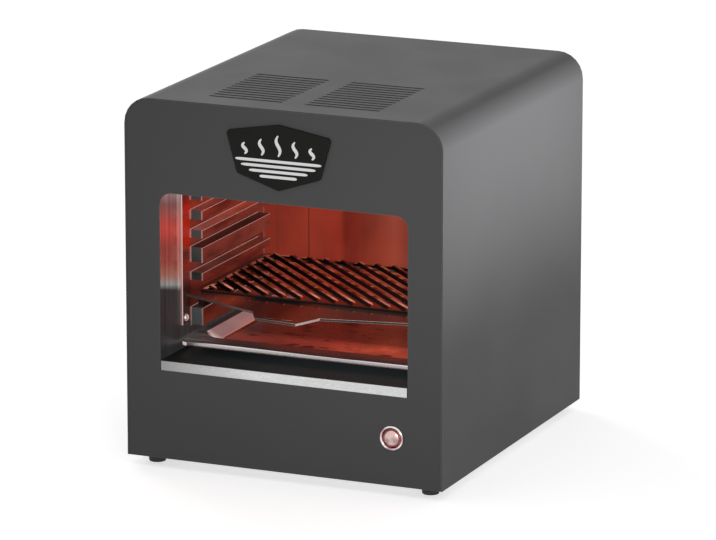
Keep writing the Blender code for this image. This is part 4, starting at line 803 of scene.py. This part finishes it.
# Sheet-metal parts with rounded edges
BEVELS = {
    "housing_wrap": 0.45 * MM,
    "front_panel": 0.40 * MM,
    "rear_panel": 0.40 * MM,
    "sill_strip": 0.30 * MM,
    "chamber_wall_left": 0.30 * MM,
    "chamber_wall_right": 0.30 * MM,
    "chamber_floor": 0.30 * MM,
    "reflector": 0.30 * MM,
    "base_plate": 0.30 * MM,
    "heat_shield": 0.30 * MM,
    "element_bar_front": 0.40 * MM,
    "element_bar_rear": 0.40 * MM,
    "chamber_support_left": 0.30 * MM,
    "chamber_support_right": 0.30 * MM,
    "terminal_block": 0.40 * MM,
    "switch_nut": 0.40 * MM,
}
for node_name, bevel_width in BEVELS.items():
    refined(node_name, bevel_width)


# Racks
RACK_LOOKS = [rack_side(), rack_top(), rack_end(), EDGE]
SIDE, TOP, END, BRIGHT = range(len(RACK_LOOKS))
END_EDGE = 1.3 * MM
END_PROUD = 0.3 * MM


def rack_look(normal, centre):
    """Bright on the front hem, the slanted edges and the folded ends, else by the way it faces."""
    inward = -normal.x if centre.x > 0 else normal.x
    if centre.y < RACK_FRONT + 2 * RACK_SHEET and abs(centre.x) > RACK_X - 2 * RACK_SHEET:
        hem = abs(normal.y) > 0.2 or centre.y < RACK_FRONT + RACK_SHEET
        return BRIGHT if hem else SIDE
    if inward > 0.2 and (0.2 < normal.z < 0.9 or -0.9 < normal.y < -0.2):
        return BRIGHT
    if normal.y < -0.9:
        proud = centre.y < RIDGE_FRONT - END_PROUD / 2
        return BRIGHT if proud else END
    return TOP if normal.z > 0.9 else SIDE


def end_edges(sign):
    """Folded sheet edges that stand proud at both sides of each ridge's front end."""

    def add(bm):
        for foot, top in zip(RIDGE_FEET, RIDGE_TOPS):
            for inner in (RIDGE_X, RACK_X - RACK_SHEET - END_EDGE):
                across = sorted((sign * inner, sign * (inner + END_EDGE)))
                low = (across[0], RIDGE_FRONT - END_PROUD, foot)
                high = (across[1], RIDGE_FRONT + END_PROUD, top)
                add_box(low, high, bm)

    return add


for side_name, side in (("left", -1), ("right", 1)):
    refined(f"rack_{side_name}", 0.45 * MM, RACK_LOOKS, rack_look, end_edges(side))


# The chamber's back, with an upright seam at each side
SEAM_X = 0.102
SEAM_HALF = 0.4 * MM
SEAM_DEPTH = 0.5 * MM


def seams(bm):
    """Cuts a thin upright groove at each side."""
    front = min(vert.co.y for vert in bm.verts)
    for x in (-SEAM_X, SEAM_X):
        for offset in (-SEAM_HALF, 0.0, SEAM_HALF):
            geometry = bm.verts[:] + bm.edges[:] + bm.faces[:]
            place = (x + offset, 0, 0)
            bmesh.ops.bisect_plane(bm, geom=geometry, plane_co=place, plane_no=(1, 0, 0))
        for vert in bm.verts:
            if abs(vert.co.x - x) < 1e-5 and vert.co.y < front + 1e-5:
                vert.co.y += SEAM_DEPTH


def back_look(normal, centre):
    """0 inside the chamber, 1 in the seams, 2 on the outside."""
    if normal.y > 0.5:
        return 2
    return 1 if abs(abs(centre.x) - SEAM_X) < SEAM_HALF else 0


BACK_LOOKS = [look_of("chamber_back"), ENAMEL, GALVANISED]
refined("chamber_back", 0.2 * MM, BACK_LOOKS, back_look, seams)


# Grate
FRONT_REACH = -0.12


def grate_look(normal, centre):
    """1 on the rounded front edges."""
    return 1 if -0.97 < normal.y < -0.3 and centre.y < FRONT_REACH else 0


def bar_look(normal, centre):
    """1 on the crests."""
    return 1 if normal.z > 0.75 else 0


refined("grate_frame", 0.6 * MM, [look_of("grate_frame"), grate_edge()], grate_look)
refined("grate_bars", 0.8 * MM, [look_of("grate_bars"), bar_crest()], bar_look, segments=3)


# Drip pan
PAN_LOOKS = [look_of("drip_pan"), pan_slope(), RIM, FLANGE]
PAN_SHOULDER = PAN_HIGH.z - 1.6 * MM


def pan_look(normal, centre):
    """0 on the bottom, 1 on the slopes, 2 on the rim and underneath, 3 on the flange."""
    if centre.z > PAN_SHOULDER or normal.z < 0:
        return 3 if normal.z > 0.95 else 2
    return 0 if centre.z < PAN_FLOOR else 1


refined("drip_pan", 0.3 * MM, PAN_LOOKS, pan_look)


# Badge plate with a generic sign: heat rising from a grate
BADGE_X = (BADGE_LOW.x + BADGE_HIGH.x) / 2
SIGN_FACE = BADGE_LOW.y + 0.4 * MM
SIGN_PROUD = 0.3 * MM
STROKE_STEPS = 28
WAVES = ((-38, 12), (-19, 17), (0, 22), (19, 17), (38, 12))
WAVE_FOOT = 1.5 * MM
WAVE_SWAY = 2.2 * MM
WAVE_HALF = 1.9 * MM
BARS = ((4.0, 49), (9.5, 42), (15.0, 33), (20.5, 21))
BAR_HALF = 1.5 * MM


def wave_half(share):
    """Half the width of a wave, thin at both ends."""
    return WAVE_HALF * math.sin(math.pi * (0.12 + 0.76 * share))


def bar_half(share):
    """Half the width of a bar, rounded at both ends."""
    return BAR_HALF * min(1.0, 12 * min(share, 1 - share) + 0.45)


def stroke(points, half, bm):
    """A flat raised line along points in the badge's plane, with a half width for each share."""
    top = SIGN_FACE - SIGN_PROUD
    corners = ((-1, SIGN_FACE), (-1, top), (1, top), (1, SIGN_FACE))
    last = len(points) - 1
    rings = []
    for i, (x, z) in enumerate(points):
        before = Vector(points[max(i - 1, 0)])
        after = Vector(points[min(i + 1, last)])
        along = (after - before).normalized()
        across = Vector((-along.y, along.x)) * half(i / last)
        ring = []
        for sign, y in corners:
            ring.append(bm.verts.new((BADGE_X + x + sign * across.x, y, z + sign * across.y)))
        rings.append(ring)
    for lower, upper in zip(rings, rings[1:]):
        for i in range(4):
            j = (i + 1) % 4
            bm.faces.new((lower[i], lower[j], upper[j], upper[i]))
    bm.faces.new(rings[0])
    bm.faces.new(rings[-1])


def make_sign():
    """Waves, each with its place across and its rise, over bars with their drop and reach, in mm."""
    bm = bmesh.new()
    middle = (BADGE_LOW.z + BADGE_HIGH.z) / 2
    shares = [i / STROKE_STEPS for i in range(STROKE_STEPS + 1)]
    for x, rise in WAVES:
        foot = middle + WAVE_FOOT
        points = []
        for share in shares:
            sway = WAVE_SWAY * math.sin(2 * math.pi * share)
            points.append((x * MM + sway, foot + share * rise * MM))
        stroke(points, wave_half, bm)
    for drop, reach in BARS:
        level = middle - drop * MM
        points = [(reach * MM * (2 * share - 1), level) for share in shares]
        stroke(points, bar_half, bm)
    silver = brushed_steel("badge_silver", (0.66, 0.66, 0.66)).material
    add_piece("badge_sign", bm, [silver], body="grill")


refined("badge_plate", 0.2 * MM)
make_sign()


# Push button
BEZEL_HOLE = 10.4 * MM
BARREL = 11.0 * MM
BARREL_BORE = 10.0 * MM
LENS_WIDTH = 1.4 * MM
LENS_CROWN = 0.35 * MM
CAP_RISE = 2.2 * MM
CAP_STEPS = 14
BUTTON_SIDES = 96


def add_turned(node, profile, material):
    """A piece turned about the button's axis, in place of a node."""
    low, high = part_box("switch_bezel")
    centre = ((low.x + high.x) / 2, 0, (low.z + high.z) / 2)
    bm = turned(profile, centre, (0, 1, 0), BUTTON_SIDES)
    add_piece(node + "_turned", bm, [material], node)


def make_bezel():
    """A rounded ring on the panel, with a barrel through it."""
    low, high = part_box("switch_bezel")
    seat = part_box("front_panel")[0].y - 0.3 * MM
    half = ((high.x - low.x) / 2 - BEZEL_HOLE) / 2
    profile = arc((BEZEL_HOLE + half, seat), (half, seat - low.y), 180, 360, 20)
    profile[0] = (BEZEL_HOLE, seat - 0.5 * MM)
    profile += [(BARREL, seat), (BARREL, high.y)]
    profile += [(BARREL_BORE, high.y), (BARREL_BORE, seat + 1.0 * MM)]
    add_turned("switch_bezel", profile, CHROME)


def make_light_ring():
    """A lens with a round crown."""
    low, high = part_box("switch_light_ring")
    radius = (high.x - low.x) / 2
    hollow = radius - LENS_WIDTH
    middle = (radius + hollow) / 2
    profile = arc((middle, low.y + LENS_CROWN), (LENS_WIDTH / 2, LENS_CROWN), 180, 360, 10)
    profile += [(radius, high.y), (hollow, high.y)]
    add_turned("switch_light_ring", profile, look_of("switch_light_ring"))


def make_cap():
    """A domed cap."""
    low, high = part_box("switch_cap")
    radius = (high.x - low.x) / 2
    profile = [(0.0, low.y)]
    for i in range(1, CAP_STEPS + 1):
        share = i / CAP_STEPS
        drop = CAP_RISE * (1 - math.sqrt(1 - 0.97 * share**2))
        profile.append((radius * share, low.y + drop))
    profile += [(radius, high.y), (0.0, high.y)]
    add_turned("switch_cap", profile, look_of("switch_cap"))


make_bezel()
make_light_ring()
make_cap()


# Feet, bolts and screws
RECESS_WIDTH = 0.24
RECESS_TAPER = 0.55
HEAD_ROUND = 1.6 * MM
PITCH = 0.7 * MM
SHANK_RADIUS = 2.0 * MM
FASTENER_SIDES = 40


def cross_recess(place, axis, size, depth):
    """A cross-shaped cutter, narrower at its end."""
    along = Vector(axis).normalized()
    side = along.orthogonal().normalized()
    across = along.cross(side)
    bm = bmesh.new()
    for long, short in ((side, across), (across, side)):
        for vert in bmesh.ops.create_cube(bm, size=1.0)["verts"]:
            x, y, z = vert.co
            taper = 1.0 if z < 0 else RECESS_TAPER
            vert.co = (
                Vector(place)
                + long * x * size * taper
                + short * y * size * RECESS_WIDTH
                + along * z * 2 * depth
            )
    return bm


def span_of(node, axis):
    """A fastener's direction, the middle of its head's face, and its length."""
    low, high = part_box(node)
    along = Vector(axis)
    length = abs((high - low).dot(along))
    return along, (low + high) / 2 - along * length / 2, length


def make_screw(node, axis, radius=4.2 * MM, head=2.6 * MM):
    """A pan-head screw with thread and cross recess; the axis runs from the head to the tip."""
    along, start, length = span_of(node, axis)
    rim = 0.45 * head
    profile = [(0.0, 0.0)]
    profile += arc((radius - HEAD_ROUND, rim), (HEAD_ROUND, rim), 270, 360, 7)
    profile += [(radius, head), (SHANK_RADIUS, head)]
    reach = head
    while reach + PITCH < length - 0.5 * MM:
        profile += [(SHANK_RADIUS * 0.86, reach + PITCH / 2), (SHANK_RADIUS, reach + PITCH)]
        reach += PITCH
    profile += [(SHANK_RADIUS * 0.7, length), (0.0, length)]
    recess = cross_recess(start, along, 4.4 * MM, 1.3 * MM)
    bm = carved(turned(profile, start, along, FASTENER_SIDES), recess)
    add_piece(node + "_turned", bm, [look_of(node)], node)


def make_bolt(node, axis, radius=4.0 * MM, head=2.7 * MM, socket=1.35 * MM):
    """A round-head bolt with a hexagon socket."""
    along, start, length = span_of(node, axis)
    profile = [(0.0, 0.0)]
    profile += arc((0.0, head), (radius, head), 290, 360, 10)
    profile += [(SHANK_RADIUS, head), (SHANK_RADIUS, length), (0.0, length)]
    ends = (-1.0 * MM, 1.4 * MM)
    outline = [(0.0, ends[0]), (socket, ends[0]), (socket, ends[1]), (0.0, ends[1])]
    cutter = turned(outline, start, along, 6)
    bm = carved(turned(profile, start, along, FASTENER_SIDES), cutter)
    add_piece(node + "_turned", bm, [look_of(node)], node)


for end in ("front", "rear"):
    for side_name, side in (("left", -1), ("right", 1)):
        make_bolt(f"rack_bolt_{end}_{side_name}", (side, 0, 0))
        make_screw(f"foot_screw_{end}_{side_name}", (0, 0, 1))
for side_name in ("left", "right"):
    make_screw(f"inlet_screw_{side_name}", (0, -1, 0))
    make_screw(f"rear_screw_{side_name}", (0, -1, 0))


def make_foot(node):
    """A rubber foot with a pocket for its screw's head."""
    low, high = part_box(node)
    centre = ((low.x + high.x) / 2, (low.y + high.y) / 2, 0)
    radius = (high.x - low.x) / 2
    tip = 8.5 * MM
    pocket = 5.0 * MM
    deep = 4.0 * MM
    hole = 2.3 * MM
    edge = 1.0 * MM
    chamfer = 0.3 * MM
    profile = [(pocket, chamfer), (pocket + chamfer, 0.0)]
    profile += arc((tip - edge / 2, edge), (edge, edge), 270, 350, 6)
    profile += arc((radius - edge / 2, high.z - edge / 2), (edge / 2, edge / 2), 0, 90, 5)
    profile += [(hole, high.z), (hole, deep), (pocket, deep)]
    add_piece(node + "_turned", turned(profile, centre, (0, 0, 1)), [RUBBER], node)


for end in ("front", "rear"):
    for side_name in ("left", "right"):
        make_foot(f"foot_{end}_{side_name}")


# Mains inlet with nickel pins
PIN_X = (-0.117, -0.110, -0.103)
PIN_Z = 0.0565
PIN_HALF_WIDTH = 1.1 * MM
PIN_HALF_HEIGHT = 4.2 * MM
PIN_ROOT = 0.1885
PIN_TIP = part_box("power_inlet")[1].y - 1.0 * MM


def inlet_look(normal, centre):
    """1 on the pins in the socket, 0 elsewhere."""
    inside = PIN_ROOT < centre.y < PIN_TIP and abs(centre.z - PIN_Z) < PIN_HALF_HEIGHT
    near = any(abs(centre.x - x) < PIN_HALF_WIDTH for x in PIN_X)
    return 1 if inside and near else 0


refined("power_inlet", 0.25 * MM, [PLASTIC, BRUSHED], inlet_look)


# Wool blankets round the chamber
WAVE_DEPTH, WAVE_SCALE = 1.2 * MM, 60
TUFT_DEPTH, TUFT_SCALE = 0.5 * MM, 260


def make_blanket(node, edge=5.0 * MM, cuts=26):
    """A slab with round edges and an uneven, dented surface inside its node's box."""
    low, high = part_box(node)
    middle = (low + high) / 2
    half = (high - low) / 2
    edge = min(edge, *(value * 0.9 for value in half))
    bm = bmesh.new()
    bmesh.ops.create_cube(bm, size=2.0)
    bmesh.ops.subdivide_edges(bm, edges=bm.edges, cuts=cuts, use_grid_fill=True)
    for vert in bm.verts:
        place = Vector(vert.co[i] * half[i] for i in range(3))
        core = Vector(max(edge - half[i], min(half[i] - edge, place[i])) for i in range(3))
        out = (place - core).normalized()
        waves = 0.5 + 0.5 * noise.noise((place + middle) * WAVE_SCALE)
        tufts = abs(noise.noise((place + middle) * TUFT_SCALE))
        vert.co = middle + core + out * (edge - WAVE_DEPTH * waves - TUFT_DEPTH * tufts)
    piece = add_piece(node + "_blanket", bm, [look_of(node)], node, smooth=80)


for node_name in ("insulation_top", "insulation_left", "insulation_right"):
    make_blanket(node_name)


# Materials of the CAD nodes themselves
for node_name, item in NODES.items():
    item.data.materials.clear()
    item.data.materials.append(look_of(node_name))


# Floor, world, lamps and camera
def background_rays(tree):
    """1 for rays from the camera, from mirrors and through glass."""
    path = tree.nodes.new("ShaderNodeLightPath")
    total = path.outputs["Is Camera Ray"]
    for name in ("Is Glossy Ray", "Is Transmission Ray"):
        either = tree.nodes.new("ShaderNodeMath")
        either.operation = "MAXIMUM"
        tree.links.new(total, either.inputs[0])
        tree.links.new(path.outputs[name], either.inputs[1])
        total = either.outputs[0]
    return total


def make_floor():
    """A matt floor that shows white, with the object's shadow on it."""
    mesh = bpy.data.meshes.new("floor")
    mesh.from_pydata([(-12, -12, 0), (12, -12, 0), (12, 12, 0), (-12, 12, 0)], [], [(0, 1, 2, 3)])
    floor = bpy.data.objects.new("floor", mesh)
    bpy.context.scene.collection.objects.link(floor)
    material = bpy.data.materials.new("pale_floor")
    material.use_nodes = True
    tree = material.node_tree
    tree.nodes.clear()
    matt = tree.nodes.new("ShaderNodeBsdfDiffuse")
    matt.inputs["Color"].default_value = (0.80, 0.80, 0.80, 1)
    glow = tree.nodes.new("ShaderNodeEmission")
    lift = tree.nodes.new("ShaderNodeMapRange")
    lift.inputs["To Max"].default_value = FLOOR_LIFT
    tree.links.new(background_rays(tree), lift.inputs["Value"])
    tree.links.new(lift.outputs["Result"], glow.inputs["Strength"])
    both = tree.nodes.new("ShaderNodeAddShader")
    tree.links.new(matt.outputs["BSDF"], both.inputs[0])
    tree.links.new(glow.outputs["Emission"], both.inputs[1])
    output = tree.nodes.new("ShaderNodeOutputMaterial")
    tree.links.new(both.outputs[0], output.inputs["Surface"])
    mesh.materials.append(material)


def make_world():
    """A plain white world, dimmer as a light than it shows."""
    world = bpy.data.worlds.new("studio")
    bpy.context.scene.world = world
    world.use_nodes = True
    tree = world.node_tree
    ground = tree.nodes["Background"]
    ground.inputs["Color"].default_value = (1, 1, 1, 1)
    level = tree.nodes.new("ShaderNodeMapRange")
    level.inputs["To Min"].default_value = WORLD_LEVEL
    level.inputs["To Max"].default_value = 1.0
    tree.links.new(background_rays(tree), level.inputs["Value"])
    tree.links.new(level.outputs["Result"], ground.inputs["Strength"])


def area_lamp(name, place, target, size, energy, spread):
    """A soft lamp that points at a target, with its spread in degrees."""
    data = bpy.data.lights.new(name, "AREA")
    data.shape = "RECTANGLE"
    data.size, data.size_y = size
    data.energy = energy
    data.spread = math.radians(spread)
    lamp = bpy.data.objects.new(name, data)
    lamp.location = place
    lamp.rotation_mode = "QUATERNION"
    lamp.rotation_quaternion = (Vector(target) - Vector(place)).to_track_quat("-Z", "Y")
    lamp.visible_camera = False
    bpy.context.scene.collection.objects.link(lamp)


FLOOR_LIFT = 0.56
WORLD_LEVEL = 0.58
# name, place, target, size, power in watts, spread in degrees
LAMPS = (
    ("side", (0.72, 0.05, 0.04), (0.18, 0.0, 0.42), (0.6, 0.06), 1.75, 48),
    ("front", (1.3, -2.2, 0.7), (0.17, -0.19, 0.30), (0.5, 0.4), 0.7, 24),
    ("top", (-2.0, 1.5, 1.2), (0.0, 0.0, 0.3), (1.2, 0.6), 1.6, 50),
)
TARGET = Vector((0.0, 0.00825, 0.2045))
AZIMUTH = math.radians(23.36)
ELEVATION = math.radians(13.78)
DISTANCE = 5.638
SENSOR = 36.0
LENS = 264.8
SHIFT = -0.0261

make_floor()
make_world()
for settings in LAMPS:
    area_lamp(*settings)

camera_data = bpy.data.cameras.new("camera")
camera_data.sensor_width = SENSOR
camera_data.lens = LENS
camera_data.shift_y = SHIFT
camera_data.clip_end = 100
camera = bpy.data.objects.new("camera", camera_data)
back = Vector((
    math.sin(AZIMUTH) * math.cos(ELEVATION),
    -math.cos(AZIMUTH) * math.cos(ELEVATION),
    math.sin(ELEVATION),
))
camera.location = TARGET + back * DISTANCE
camera.rotation_mode = "QUATERNION"
camera.rotation_quaternion = (-back).to_track_quat("-Z", "Y")
bpy.context.scene.collection.objects.link(camera)
bpy.context.scene.camera = camera
bpy.context.scene.view_settings.view_transform = "Standard"
